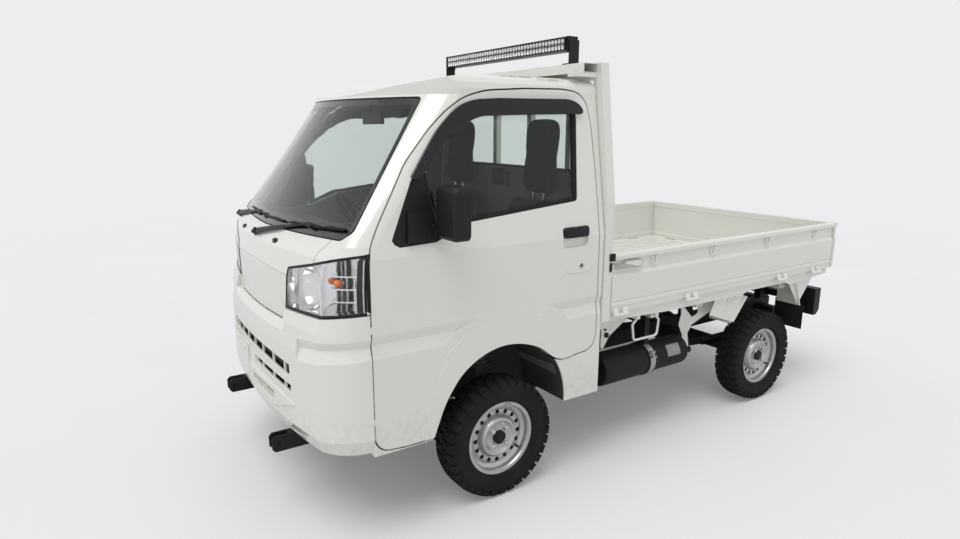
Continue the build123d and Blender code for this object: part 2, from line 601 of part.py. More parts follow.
# Rear axle with leaf springs and the shaft to the gearbox
HUB_X = 594
HUB_FACE = HUB_X - 0.3
axle_z = TYRE_R
rear_axle = rod_x(38, (-585, 585), AXLE_Y, axle_z) + rod_x(24, (-HUB_FACE, HUB_FACE), AXLE_Y, axle_z)
rear_axle = rear_axle + Pos(-30, AXLE_Y, axle_z) * Sphere(105)
rear_axle = rear_axle + rod_between(30, (-30, -177, 390), (-30, AXLE_Y - 70, 290))
rear_axle = rear_axle + both_sides(rod_x(105, (576, 586), AXLE_Y, axle_z))
SPRING_X = (420, 480)
for leaf in range(3):
    reach = 470 - leaf * 110
    z_mid = axle_z + 60 - leaf * 8.5
    arc = ThreePointArc((-reach, 26 * (reach / 470) ** 2), (0, 0), (reach, 26 * (reach / 470) ** 2))
    upper = ThreePointArc((reach, 9 + 26 * (reach / 470) ** 2), (0, 9), (-reach, 9 + 26 * (reach / 470) ** 2))
    loop = Wire([arc, Line(arc @ 1, upper @ 0), upper, Line(upper @ 1, arc @ 0)])
    blade = extrude(Plane.YZ.offset(SPRING_X[0]) * Pos(AXLE_Y, z_mid) * Face(loop), amount=60, dir=(1, 0, 0))
    rear_axle = rear_axle + both_sides(blade)
for eye_y in (AXLE_Y - 465, AXLE_Y + 465):
    hanger = block((405, 495), (eye_y - 30, eye_y + 30), (axle_z + 76, 420))
    hanger = hanger + block((360, 495), (eye_y - 30, eye_y + 30), (410, 450))
    frame = frame + both_sides(hanger - block(SPRING_X, (eye_y - 60, eye_y + 60), (axle_z + 60, axle_z + 100)))
pad = block((400, 500), (AXLE_Y - 60, AXLE_Y + 60), (axle_z + 20, axle_z + 44))
rear_axle = rear_axle + both_sides(pad)

# Silencer: two cans with a clamp ring between them, pipes and a hanger
MUFFLER_X = 600
MUFFLER_Z = 410
FRONT_CAN_R = 84
REAR_CAN_R = 80
CAN_JOINT = 30
CAN_REAR = 318
CLAMP = (-2, 62)


def can(radius, y):
    """A drum with rounded ends."""
    return fillet(rod_y(radius, MUFFLER_X, y, MUFFLER_Z).edges(), 16)


muffler = can(FRONT_CAN_R, (-300, CAN_JOINT)) + can(REAR_CAN_R, (CAN_JOINT - 40, CAN_REAR))
muffler = muffler + rod_y(FRONT_CAN_R + 3, MUFFLER_X, (CLAMP[0], CLAMP[0] + 16), MUFFLER_Z)
muffler = muffler + rod_y(FRONT_CAN_R + 3, MUFFLER_X, (CLAMP[1] - 16, CLAMP[1]), MUFFLER_Z)
muffler = muffler + rod_y(20, MUFFLER_X - 10, (CAN_REAR - 10, CAN_REAR + 110), MUFFLER_Z - 30)
PIPE = [(MUFFLER_X - 10, -290, MUFFLER_Z), (500, -380, 360), (420, -380, 340)]
for start, end in zip(PIPE[:-1], PIPE[1:]):
    muffler = muffler + rod_between(19, start, end)
muffler = muffler + block((570, 630), (CLAMP[0] + 16, CLAMP[1] - 16), (470, 640))

fuel_tank = plan_slab([(-690, -200), (-400, -200), (-400, 420), (-690, 420)], (370, 590), 40)
fuel_tank = fuel_tank + block((-600, -500), (40, 80), (585, 640)) + block((-600, -500), (392, 420), (585, 640))

# Load bed: deck with ribs, side sills, cross channels
DECK_X = 705
DECK_Z = 742
BED_FRONT = -347
BED_REAR = 1558
SILL_X = 718
bed = block((-DECK_X, DECK_X), (BED_FRONT, BED_REAR), (714, DECK_Z))
sill_edge = [(BED_FRONT, 738), (BED_FRONT, 706), (60, 688), (700, 686), (760, 700), (1110, 700), (1170, 680),
             (1380, 694), (BED_REAR, 706), (BED_REAR, 738)]
bed = bed + both_sides(side_slab(sill_edge, (640, SILL_X)))
for channel_y in (-300, 60, 420, 700, 1200, 1480):
    bed = bed + block((-650, 650), (channel_y - 30, channel_y + 30), (640, 716))
bed = bed + both_sides(block((312, 368), (BED_FRONT, 1540), (560, 642)))
for groove in range(-7, 8):
    bed = bed - block((groove * 84 - 9, groove * 84 + 9), (BED_FRONT + 60, BED_REAR - 60), (DECK_Z - 4, DECK_Z + 5))
guard_front = side_slab([(448, 600), (639, 533), (752, 665), (700, 702), (500, 702)], (694, 697))
guard_rear = side_slab([(1309, 529), (1195, 674), (1195, 702), (1453, 702)], (694, 697))
for rib_y in (560, 590, 620):
    rib = side_slab([(rib_y, 598), (rib_y + 7, 598), (rib_y + 62, 690), (rib_y + 55, 690)], (696, 700))
    guard_front = guard_front + rib
guard_front = guard_front + side_slab([(639, 533), (647, 530), (760, 665), (752, 665)], (694, 712))
guard_rear = guard_rear + side_slab([(1309, 529), (1318, 525), (1250, 702), (1240, 702)], (694, 712))
guard_leg = block((560, 697), (636, 642), (520, 702)) + block((560, 697), (1306, 1310), (528, 702))
bed = bed + both_sides(guard_front + guard_rear + guard_leg)
STAY_EDGE = [(316, 702), (631, 702), (631, 629), (616, 592), (421, 525), (392, 481), (408, 404), (356, 404),
             (348, 480), (313, 544), (330, 600)]
stay = side_slab(STAY_EDGE, (MUFFLER_X, MUFFLER_X + 4)) - side_slab(
    [(350, 640), (420, 570), (470, 585), (470, 660), (350, 672)], (590, 620), 12)
bed = bed + stay + mirrored(stay & block((590, 620), (430, 640), (560, 702)))
muffler = muffler + block((MUFFLER_X - 8, MUFFLER_X - 0.5), (CAN_REAR - 4, 400), (412, 432))
corner_bracket = side_slab([(-269, 520), (-229, 580), (-122, 645), (-122, 700), (-285, 700), (-285, 530)], (612, 616))
bed = bed + both_sides(corner_bracket)
LOOP_LINE = [(-128, 700), (-132, 672), (-158, 650), (-144, 566), (22, 566), (32, 648), (4, 672), (0, 700)]
LOOP_X = 700
LOOP_R = 6
loop_path = Plane.YZ.offset(LOOP_X) * FilletPolyline(*LOOP_LINE, radius=[8, 14, 20, 20, 14, 8])
loop_end = Plane(origin=loop_path @ 0, z_dir=loop_path % 0) * Circle(LOOP_R)
rope_loop = sweep(loop_end, path=loop_path)
bed = bed + both_sides(rope_loop)
bed = bed + both_sides(block((640, 712), (-140, -118), (676, 700)) + block((640, 712), (-8, 14), (676, 700)))

# Hinges of the bed gates: the axis runs outside the sill
HINGE_OUT = 748
HINGE_Z = 735
HINGE_R = 8
HINGE_HALF = 46
PIN_R = 4
GATE_X = (712, 737.5)
GATE_Y = (BED_FRONT, 1560)
GATE_Z = (DECK_Z + 2, 1027)
GATE_SKIN = 736
GATE_LIP = 733
GATE_INSIDE = 715
CHANNEL_X = 725
TAIL_Y = (1566, 1591.5)
TAIL_HINGE_Y = TAIL_Y[1] + (HINGE_OUT - GATE_X[1])
SIDE_HINGES = [-292, 222, 1030, 1385]
TAIL_HINGES = [-560, 0, 560]


def fixed_hinge(at):
    lug = block((SILL_X - 4, HINGE_OUT), (at - 13, at + 13), (HINGE_Z - 8, HINGE_Z + 2))
    lug = lug + rod_y(HINGE_R, HINGE_OUT, (at - 13, at + 13), HINGE_Z)
    return lug + rod_y(PIN_R, HINGE_OUT, (at - HINGE_HALF - 1, at + HINGE_HALF + 1), HINGE_Z)


def gate_hinge(at):
    leaf = Part()
    for low, high in ((at - HINGE_HALF, at - 14.5), (at + 14.5, at + HINGE_HALF)):
        leaf = leaf + rod_y(HINGE_R, HINGE_OUT, (low, high), HINGE_Z)
        leaf = leaf + front_slab([(GATE_LIP - 2, 770), (742, 767), (HINGE_OUT + 7, HINGE_Z + 2),
                                  (HINGE_OUT - 3, HINGE_Z + 7), (GATE_LIP - 2, 752)], (low, high))
    return leaf - rod_y(PIN_R + 1, HINGE_OUT, (at - HINGE_HALF - 5, at + HINGE_HALF + 5), HINGE_Z)


def turned_to_tail(shape, at):
    moved = Pos(0, -at, 0) * shape
    moved = Rot(0, 0, 90) * moved
    return Pos(at, TAIL_HINGE_Y - HINGE_OUT, 0) * moved


for at in SIDE_HINGES:
    bed = bed + both_sides(fixed_hinge(at))
tail_sill = block((-700, 700), (BED_REAR - 10, TAIL_HINGE_Y - HINGE_OUT + SILL_X), (700, 738))
bed = bed + tail_sill
for at in TAIL_HINGES:
    bed = bed + turned_to_tail(fixed_hinge(at), at)

# Gate section from the bottom flange to the rolled rail: X, Z
GATE_SECTION = [
    (GATE_X[0], GATE_Z[0]), (GATE_LIP, GATE_Z[0]), (GATE_LIP, 771), (GATE_SKIN, 774), (GATE_SKIN, 787),
    (GATE_LIP, 791), (GATE_LIP, 799), (GATE_SKIN, 803), (GATE_SKIN, 919), (CHANNEL_X, 937), (CHANNEL_X, 992),
    (732, 995), (GATE_X[1], 1001), (GATE_X[1], 1017), (732, GATE_Z[1] - 2), (727, GATE_Z[1]),
    (717, GATE_Z[1]), (GATE_X[0], 1021), (GATE_X[0], 986), (GATE_INSIDE, 980), (GATE_INSIDE, 782),
    (GATE_X[0], 776),
]
HOOKS = [-66, 385, 870, 1357]
HOOK_Z = (950, 994)
HOOK_R = 3.5
HOOK_HALF = 15
HOOK_X = GATE_X[1] - HOOK_R - 1
LATCH = [(-352, 966), (-340, 978), (-276, 978), (-262, 990), (-168, 990), (-152, 974), (-168, 954), (-300, 958),
         (-340, 954)]


def rope_hook(at):
    """A U of round bar that hangs from the rail into the channel."""
    line = [(at - HOOK_HALF, HOOK_Z[1]), (at - HOOK_HALF, HOOK_Z[0]), (at + HOOK_HALF, HOOK_Z[0]),
            (at + HOOK_HALF, HOOK_Z[1])]
    path = Plane.YZ.offset(HOOK_X) * FilletPolyline(*line, radius=HOOK_HALF - 2)
    end = Plane(origin=path @ 0, z_dir=path % 0) * Circle(HOOK_R)
    root = block((CHANNEL_X - 1, HOOK_X + 2), (at - HOOK_HALF - 5, at - HOOK_HALF + 5), (984, 994))
    root = root + block((CHANNEL_X - 1, HOOK_X + 2), (at + HOOK_HALF - 5, at + HOOK_HALF + 5), (984, 994))
    return sweep(end, path=path) + root


def gate_lever(edge, grow):
    """Latch lever in the channel, with its raised grip."""
    lever = side_slab([(y, z) for y, z in edge], (CHANNEL_X - 1, GATE_X[1] + 1), 4)
    return lever + side_slab([(y, z) for y, z in edge[2:7]], (GATE_X[1], GATE_X[1] + grow), 4)


gate = front_slab(GATE_SECTION, GATE_Y)
for at in SIDE_HINGES:
    gate = gate + gate_hinge(at)
for at in HOOKS:
    gate = gate + rope_hook(at)
gate = gate + gate_lever(LATCH, 5)

TAIL_HALF = 737.5
tail = turned_to_tail(front_slab(GATE_SECTION, (-TAIL_HALF, TAIL_HALF)), 0)
for at in TAIL_HINGES:
    tail = tail + turned_to_tail(gate_hinge(at), at)
tail_latch = [(y + 352 - TAIL_HALF + 14, z) for y, z in LATCH]
tail = tail + both_sides(turned_to_tail(gate_lever(tail_latch, 5), 0))

# Headboard frame, its arms and the cross bar with the light bar
POST_Y = (-403, -355)
post = front_slab([(737, DECK_Z - 30), (737, 1270), (660, 1875), (608, 1875), (685, 1270), (685, DECK_Z - 30)], POST_Y)
headboard = both_sides(post)
headboard = headboard + block((-640, 640), (POST_Y[0], POST_Y[1]), (1800, 1836))
headboard = headboard + block((-690, 690), (POST_Y[0] + 8, POST_Y[1]), (1000, 1036))
headboard = headboard + block((-690, 690), (POST_Y[0] + 16, POST_Y[1] - 10), (DECK_Z - 30, 1010))
for bar_x in (-450, -150, 150, 450):
    headboard = headboard + block((bar_x - 16, bar_x + 16), (POST_Y[0] + 8, POST_Y[0] + 38), (1020, 1810))
headboard = headboard + block((-690, 690), (POST_Y[0] + 8, BED_FRONT), (DECK_Z - 30, DECK_Z - 2))
arm = block((600, 640), (-540, POST_Y[0] + 5), (1812, 1830))
headboard = headboard + both_sides(arm)
CROSS_Z = (1831, 1872)
CROSS_WALL = 3
cross = block((-640, 640), (-484, -398), CROSS_Z)
cross = cross - block((-650, 650), (-484 + CROSS_WALL, -398 - CROSS_WALL),
                      (CROSS_Z[0] + CROSS_WALL, CROSS_Z[1] - CROSS_WALL))
headboard = headboard + cross
BAR_X = 517
BAR_FACE = -486
BAR_FLOOR = -466
BAR_RIM = 10
BAR_ROOM_Z = (1936, 1986)
LENS_THICK = 3
light_bar = side_slab([(BAR_FACE, 1931), (BAR_FACE, 1991), (-424, 1991), (-412, 1980), (-412, 1942), (-424, 1931)],
                      (-BAR_X, BAR_X))
light_bar = light_bar - block((-BAR_X + BAR_RIM, BAR_X - BAR_RIM), (BAR_FACE - 4, BAR_FLOOR), BAR_ROOM_Z)
middle_z = sum(BAR_ROOM_Z) / 2
light_bar = light_bar + block((-BAR_X, BAR_X), (BAR_FACE + LENS_THICK + 1.5, BAR_FLOOR + 1), (middle_z - 1, middle_z + 1))
# Cooling fins along the back
FIN_PITCH = 8
for groove in range(5):
    fin_z = middle_z - FIN_PITCH * 2 + FIN_PITCH * groove
    light_bar = light_bar - block((-BAR_X + 4, BAR_X - 4), (-430, -400), (fin_z - 2, fin_z + 2))
light_bar = light_bar + both_sides(block((BAR_X, BAR_X + 12), (-480, -424), (1925, 1993)))
FOOT_Y = (-476, -420)
foot = block((BAR_X + 12, BAR_X + 18), FOOT_Y, (CROSS_Z[1], 1978))
foot = foot + block((BAR_X - 30, BAR_X + 18), FOOT_Y, (CROSS_Z[1], CROSS_Z[1] + 6))
light_bar = light_bar + both_sides(foot)
light_bar_lens = block((-BAR_X + BAR_RIM, BAR_X - BAR_RIM), (BAR_FACE + 1, BAR_FACE + 1 + LENS_THICK), BAR_ROOM_Z)

# Tail lamps below the deck, mud flaps behind the rear wheels
lamp_body = side_slab([(1490, 604), (1552, 604), (1552, 462), (1524, 434), (1490, 434)], (535, 705))
lamp_body = lamp_body + block((560, 640), (1470, 1500), (600, 640))
tail_lamps = both_sides(lamp_body)
flap_edge = [(550, 380), (735, 380), (735, 525), (693, 525), (693, 545), (550, 545)]
mud_flaps = both_sides(front_slab(flap_edge, (1310, 1315)))

# Knuckles turn about an axis that leans in at the top
steer_low = (KNEE_LOW[0], -AXLE_Y, KNEE_LOW[1])
steer_high = (KNEE_TOP[0], -AXLE_Y, KNEE_TOP[1])
steer_axis = (Vector(*steer_high) - Vector(*steer_low)).normalized()
steer_frame = Plane(origin=steer_low, z_dir=steer_axis)
STRUT_LEN = 540


def on_axis(radius, low, high):
    return steer_frame * Pos(0, 0, (low + high) / 2) * Cylinder(radius, high - low)


ball = on_axis(16, -12, 12)
front_subframe = front_subframe + both_sides(ball)
knuckle = on_axis(17, 12 + PIVOT_GAP, 250) + on_axis(21, 240, 430) + on_axis(10, 420, STRUT_LEN)
knuckle = knuckle + on_axis(60, 385, 392) + on_axis(50, 520, 528)
coils = Part()
for turn in range(5):
    coils = coils + on_axis(52, 398 + turn * 24, 408 + turn * 24)
knuckle = knuckle + coils + on_axis(42, 392, 520)
spindle = rod_x(34, (545, 588), -AXLE_Y, TYRE_R) + rod_x(78, (580, 586), -AXLE_Y, TYRE_R)
spindle = spindle + rod_x(24, (580, HUB_FACE), -AXLE_Y, TYRE_R)
steer_arm = block((520, 580), (-AXLE_Y, -AXLE_Y + 110), (TYRE_R - 50, TYRE_R - 32))
knuckle = knuckle + spindle + steer_arm

# Road wheels: rim with its dished disc, holes, nuts and drum
HOLES = 16
HOLE_R = 10.5
HOLE_CIRCLE = 113
NUTS = 4
NUT_CIRCLE = 50
BOWL_X = 646
RIM_PROFILE = [
    (HUB_X, 147), (HUB_X, BEAD_R + 12), (HUB_X + 6, BEAD_R + 12), (HUB_X + 8, BEAD_R), (HUB_X + 28, BEAD_R),
    (HUB_X + 40, 138), (HUB_X + 66, 138), (HUB_X + 78, BEAD_R), (HUB_X + 103, BEAD_R), (HUB_X + 105, FLANGE_R),
    (HUB_X + 111, FLANGE_R), (HUB_X + 110, 152), (HUB_X + 103, 148), (HUB_X + 82, 148), (HUB_X + 72, 133),
    (HUB_X + 74, 128), (HUB_X + 79, 122), (HUB_X + 80, 112), (HUB_X + 78, 100), (HUB_X + 74, 92), (BOWL_X + 5, 76),
    (BOWL_X, 70), (BOWL_X, 0), (BOWL_X - 4, 0), (BOWL_X - 4, 72), (BOWL_X + 1, 79), (HUB_X + 70, 94),
    (HUB_X + 74, 102), (HUB_X + 76, 112), (HUB_X + 74, 120), (HUB_X + 68, 126), (HUB_X + 62, 131),
    (HUB_X + 40, 131), (HUB_X + 26, 147),
]
rim = revolve(Plane.XZ * outline(RIM_PROFILE), axis=Axis.X)
drum = rod_x(98, (HUB_X, BOWL_X - 6), 0, 0) - rod_x(80, (HUB_X - 5, BOWL_X - 14), 0, 0)
rim = rim + drum + rod_x(40, (HUB_X, BOWL_X - 2), 0, 0) + rod_x(62, (BOWL_X - 8, BOWL_X - 2), 0, 0)
rim = rim + rod_x(31, (BOWL_X - 2, BOWL_X + 18), 0, 0) + rod_x(24, (BOWL_X + 16, BOWL_X + 23), 0, 0)
for number in range(HOLES):
    rim = rim - Rot(number * 360 / HOLES, 0, 0) * rod_x(HOLE_R, (BOWL_X + 8, BOWL_X + 50), 0, HOLE_CIRCLE)
for number in range(NUTS):
    rim = rim + Rot(45 + number * 360 / NUTS, 0, 0) * rod_x(9.5, (BOWL_X - 1, BOWL_X + 17), 0, NUT_CIRCLE)

# Tyre: flat facets round the axle, every second one notched between the shoulder lugs
FACETS = 32
NOTCH_R = TYRE_R - 8
GROOVE_X = (646, 659)
TYRE_SIDE_IN = [(602.2, BEAD_R + 0.1), (602.2, FLANGE_R + 1), (582, 203), (583, 240)]
TYRE_SIDE_OUT = [(722, 240), (723, 203), (696.8, FLANGE_R + 1), (696.8, BEAD_R + 0.1)]
TREAD_GROOVE = [(GROOVE_X[0], TYRE_R), (GROOVE_X[0], NOTCH_R), (GROOVE_X[1], NOTCH_R), (GROOVE_X[1], TYRE_R)]
LUG_TREAD = [(592, 260), (610, TYRE_R)] + TREAD_GROOVE + [(695, TYRE_R), (713, 260)]
NOTCH_TREAD = [(589, 250), (618, NOTCH_R), (620, TYRE_R)] + TREAD_GROOVE + [(685, TYRE_R), (687, NOTCH_R), (716, 250)]
half_turn = math.pi / FACETS
wedge_tool = side_slab([(0, 0), (300 * math.tan(half_turn), 300), (-300 * math.tan(half_turn), 300)], (560, 740))


def tyre_wedge(tread):
    face = Plane.XZ * outline(TYRE_SIDE_IN + tread + TYRE_SIDE_OUT)
    return extrude(face, amount=40, both=True) & wedge_tool


wedges = [tyre_wedge(LUG_TREAD), tyre_wedge(NOTCH_TREAD)]
tyre = Part() + [Rot(number * 360 / FACETS, 0, 0) * wedges[number % 2] for number in range(FACETS)]

WHEELS = [("front_left", 1, -AXLE_Y), ("front_right", -1, -AXLE_Y), ("rear_left", 1, AXLE_Y), ("rear_right", -1, AXLE_Y)]
for place, side, wheel_y in WHEELS:
    for name, piece in (("rim_", rim), ("tyre_", tyre)):
        moved = Pos(0, wheel_y, TYRE_R) * piece
        save(name + place, moved if side > 0 else mirrored(moved))


def save_sides(node, shape):
    save(node + "_left", shape)
    save(node + "_right", mirrored(shape))


save("ladder_frame", frame)
save("front_subframe", front_subframe)
save("tow_brackets", tow_brackets)
save("engine_block", engine_block)
save("rear_axle", rear_axle)
save("muffler", muffler)
save("fuel_tank", fuel_tank)
save("cab_shell", shell)
save("windscreen", windscreen)
save("rear_window", rear_window)
save("front_panel", front_panel)
save("bumper", bumper)
save("grille", grille)
save("headlight_bowls", both_sides(lamp_cup))
save("headlight_lenses", both_sides(lamp_lens))
save("wiper_arms", wiper_arms)
save("dashboard", dashboard)
save("steering_wheel", steering_wheel)
save("seats", seats)
save("inner_mirror", inner_mirror)
save("bed", bed)
save("headboard", headboard)
save("light_bar", light_bar)
save("light_bar_lens", light_bar_lens)
save("tail_lamps", tail_lamps)
save("mud_flaps", mud_flaps)
save_sides("door", door)
save_sides("door_glass", door_glass)
save_sides("door_trim", door_trim)
save_sides("door_visor", visor)
save_sides("side_gate", gate)
save("tailgate", tail)
save_sides("knuckle", knuckle)
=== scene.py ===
import json
import math
from math import cos, hypot, sin, tau

import bmesh
import bpy
from mathutils import Matrix, Vector


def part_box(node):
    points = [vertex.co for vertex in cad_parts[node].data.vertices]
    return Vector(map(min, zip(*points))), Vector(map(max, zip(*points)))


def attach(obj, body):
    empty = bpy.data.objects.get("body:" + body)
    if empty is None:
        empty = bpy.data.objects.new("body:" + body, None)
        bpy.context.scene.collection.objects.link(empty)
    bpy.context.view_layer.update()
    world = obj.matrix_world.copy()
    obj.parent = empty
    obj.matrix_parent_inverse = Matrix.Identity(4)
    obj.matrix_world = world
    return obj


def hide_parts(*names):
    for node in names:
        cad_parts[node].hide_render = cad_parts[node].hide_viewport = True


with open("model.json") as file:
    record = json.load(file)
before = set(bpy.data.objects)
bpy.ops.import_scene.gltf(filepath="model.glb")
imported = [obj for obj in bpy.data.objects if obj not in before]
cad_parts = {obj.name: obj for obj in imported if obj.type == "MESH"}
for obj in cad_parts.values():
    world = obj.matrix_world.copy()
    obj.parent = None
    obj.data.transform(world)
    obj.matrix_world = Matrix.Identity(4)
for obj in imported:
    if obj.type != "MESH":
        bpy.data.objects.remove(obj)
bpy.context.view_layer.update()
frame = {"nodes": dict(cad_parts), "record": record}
NODES = frame["nodes"]

# Sizes are in metres. Y counts from halfway between the axles, and this much more takes it to the frame's Y
SHIFT_Y = 0.1175
SIDES = (("left", 1), ("right", -1))
CAB_HALF = 0.731
BELT_Z = 1.13


# Materials

class Graph:
    """The nodes of a material or of the world, with short ways to add and join them."""

    def __init__(self, owner):
        owner.use_nodes = True
        self.tree = owner.node_tree

    def fill(self, node, inputs):
        """Gives inputs a number, a colour, a vector or another node's output."""
        for name, value in inputs.items():
            socket = node.inputs[name]
            if isinstance(value, bpy.types.NodeSocket):
                self.tree.links.new(value, socket)
            elif socket.type == "RGBA":
                socket.default_value = (*value, 1)
            else:
                socket.default_value = value

    def node(self, kind, inputs=(), **settings):
        node = self.tree.nodes.new("ShaderNode" + kind)
        for name, value in settings.items():
            setattr(node, name, value)
        self.fill(node, dict(inputs))
        return node

    def maths(self, operation, *values):
        return self.node("Math", enumerate(values), operation=operation).outputs["Value"]

    def times(self, product, *factors):
        for factor in factors:
            product = self.maths("MULTIPLY", product, factor)
        return product

    def below(self, value, limit):
        return self.maths("LESS_THAN", value, limit)

    def above(self, value, limit):
        return self.maths("GREATER_THAN", value, limit)

    def more(self, value, mask, amount):
        return self.maths("ADD", value, self.times(mask, amount))

    def place(self):
        return self.node("TexCoord").outputs["Object"]

    def normal(self):
        return self.node("NewGeometry").outputs["True Normal"]

    def axes(self, vector):
        return self.node("SeparateXYZ", {"Vector": vector}).outputs

    def noise(self, scale, detail=4.0, stretch=(1, 1, 1)):
        vector = self.node("Mapping", {"Vector": self.place(), "Scale": stretch}).outputs["Vector"]
        return self.node("TexNoise", {"Scale": scale, "Detail": detail, "Vector": vector}).outputs["Fac"]

    def ramp(self, value, dark, pale):
        """From one colour to the other, over the middle of a noise's range."""
        node = self.node("ValToRGB", {"Fac": value})
        for element, place, colour in zip(node.color_ramp.elements, (0.3, 0.7), (dark, pale)):
            element.position = place
            element.color = (*colour, 1)
        return node.outputs["Color"]

    def mottle(self, colour, vary, scale, detail):
        return self.ramp(self.noise(scale, detail), shade(colour, 1 - vary), shade(colour, 1 + vary))

    def span(self, value, low, high):
        return self.node("MapRange", {"Value": value, "To Min": low, "To Max": high}).outputs["Result"]

    def ease(self, value, low, high):
        """0 at low, 1 at high, smooth between them. low may be the larger."""
        inputs = {"Value": value, "From Min": low, "From Max": high}
        return self.node("MapRange", inputs, interpolation_type="SMOOTHSTEP").outputs["Result"]

    def mixed(self, factor, first, second):
        node = self.node("Mix", data_type="RGBA")
        sockets = {socket.identifier: number for number, socket in enumerate(node.inputs)}
        values = {"Factor_Float": factor, "A_Color": first, "B_Color": second}
        self.fill(node, {sockets[name]: value for name, value in values.items()})
        return [socket for socket in node.outputs if socket.identifier == "Result_Color"][0]

    def bump(self, shader, scale, strength, distance):
        grain = {"Height": self.noise(scale, 2.0), "Strength": strength, "Distance": distance}
        self.fill(shader, {"Normal": self.node("Bump", grain).outputs["Normal"]})

    def seen(self, *kinds):
        """1 for rays of any of these kinds."""
        rays = self.node("LightPath").outputs
        value = 0.0
        for kind in kinds:
            value = self.maths("MAXIMUM", value, rays[f"Is {kind} Ray"])
        return value

    def show(self, output, factor, first, second):
        """Shows the first shader where factor is 0, and the second where it is 1."""
        mix = self.node("MixShader", {0: factor, 1: first.outputs[0], 2: second.outputs[0]})
        self.fill(output, {"Surface": mix.outputs["Shader"]})


def shade(colour, factor):
    return tuple(channel * factor for channel in colour)


LOOKS = {}


def new_material(name):
    LOOKS[name] = bpy.data.materials.new(name)
    graph = Graph(LOOKS[name])
    return LOOKS[name], graph, graph.tree.nodes["Principled BSDF"]


def surface(name, colour, rough, vary=0.08, scale=6.0, metal=0.0, grain=None, coat=0.0, shine=0.5):
    material, graph, shader = new_material(name)
    graph.fill(shader, {
        "Base Color": graph.mottle(colour, vary, scale, 5.0),
        "Roughness": graph.span(graph.noise(scale * 4), *rough),
        "Metallic": metal, "Specular IOR Level": shine, "Coat Weight": coat, "Coat Roughness": 0.04,
    })
    if grain:
        graph.bump(shader, *grain)
    return material


def glass(name, colour):
    """Tinted glass that lets the sun through to what lies behind it."""
    material, graph, shader = new_material(name)
    tint = graph.ramp(graph.noise(3.0), shade(colour, 0.97), colour)
    graph.fill(shader, {"Base Color": tint, "Roughness": 0.0, "Transmission Weight": 1.0, "IOR": 1.33})
    clear = graph.node("BsdfTransparent", {"Color": tint})
    graph.show(graph.tree.nodes["Material Output"], graph.seen("Shadow"), shader, clear)
    return material


WHITE = (0.8, 0.797, 0.735)
PAINT_COAT = 0.8
# Grey trim inside the cab and doors, darker than its own tone: partly painted shade
TRIM_AND_SHADE = (0.16, 0.16, 0.155)
# Dark grey for the wheelhouses and under the cab: painted shade on white paint
WHEELHOUSE_SHADE = (0.045, 0.045, 0.042)
DIRT = (0.24, 0.2, 0.15)
SCUFF = (0.34, 0.32, 0.28)
DECK_TOP = 0.76
ROOM_MIDDLE = (0, -0.98 + SHIFT_Y, 1.25)
ROOM_HALF = 0.6885
ROOM_LEAN = 0.1525
ROOM_FLOOR = 0.49
# Bounds of the wheelhouses and underbody, where the cab's paint is darkened as painted shade
HOUSING_HALF = 0.7235
HOUSING_FRONT = -1.45 + SHIFT_Y
HOUSING_TOP = 0.73


def room_mask(graph, x, z, for_door):
    """1 on the faces that look into the cab's room."""
    lean = graph.times(graph.maths("MAXIMUM", graph.maths("SUBTRACT", z, BELT_Z), 0.0), ROOM_LEAN)
    mask = graph.below(graph.maths("ADD", graph.maths("ABSOLUTE", x), lean), ROOM_HALF)
    if for_door:
        return mask
    away = graph.node("VectorMath", {0: graph.place(), 1: ROOM_MIDDLE}, operation="SUBTRACT")
    turned = graph.node("VectorMath", {0: away.outputs["Vector"], 1: graph.normal()}, operation="DOT_PRODUCT")
    return graph.times(mask, graph.below(turned.outputs["Value"], 0.0), graph.above(z, ROOM_FLOOR))


def painted(name, room=None, deck=False):
    """White coachwork: faint mottling, road dirt low down, scuffs in the bed, grey trim inside the cab
    darkened as painted shade, and dark grey painted shade in the wheelhouses and under the cab.
    """
    material, graph, shader = new_material(name)
    x, y, z = graph.axes(graph.place())
    colour = graph.mottle(WHITE, 0.008, 1.5, 2.0)
    splash = graph.times(graph.ease(z, 0.62, 0.34), graph.ease(graph.noise(40, 8.0), 0.35, 0.8), 0.22)
    specks = graph.times(graph.ease(graph.noise(110, 3.0), 0.68, 0.74), 0.04)
    for dirt in (splash, specks):
        colour = graph.mixed(dirt, colour, DIRT)
    rough = graph.span(graph.noise(3), 0.2, 0.26)
    coat = PAINT_COAT
    if deck:
        floor = graph.times(graph.above(graph.axes(graph.normal())["Z"], 0.9), graph.below(z, DECK_TOP))
        scratch = graph.ease(graph.noise(12, 8.0, (10, 0.6, 1)), 0.52, 0.74)
        stain = graph.ease(graph.noise(7, 9.0), 0.4, 0.85)
        worn = graph.times(graph.maths("ADD", scratch, stain), 0.22, floor)
        colour = graph.mixed(worn, colour, SCUFF)
        rough = graph.more(rough, floor, 0.3)
    if room:
        # Faces that look into the cab take the trim colour, darkened as painted shade
        mask = room_mask(graph, x, z, room == "door")
        colour = graph.mixed(mask, colour, graph.mottle(TRIM_AND_SHADE, 0.08, 60, 3.0))
        if room == "cab":
            # Wheelhouse and underbody faces outside the room get painted shade; seal is that painted shade
            inside = graph.times(graph.below(graph.maths("ABSOLUTE", x), HOUSING_HALF),
                                 graph.above(y, HOUSING_FRONT), graph.below(z, HOUSING_TOP))
            seal = graph.times(inside, graph.maths("SUBTRACT", 1.0, mask))
            colour = graph.mixed(seal, colour, WHEELHOUSE_SHADE)
            rough = graph.more(rough, seal, 0.5)
            mask = graph.maths("MAXIMUM", mask, seal)
        rough = graph.more(rough, mask, 0.4)
        coat = graph.more(PAINT_COAT, mask, -PAINT_COAT)
    graph.fill(shader, {
        "Base Color": colour, "Roughness": rough, "Coat Weight": coat, "Coat Roughness": 0.05,
    })
    graph.bump(shader, 350, 0.04, 0.0004)
    return material


painted("white_paint")
painted("cab_paint", room="cab")
DOOR_PAINT = painted("door_paint", room="door")
painted("bed_paint", deck=True)

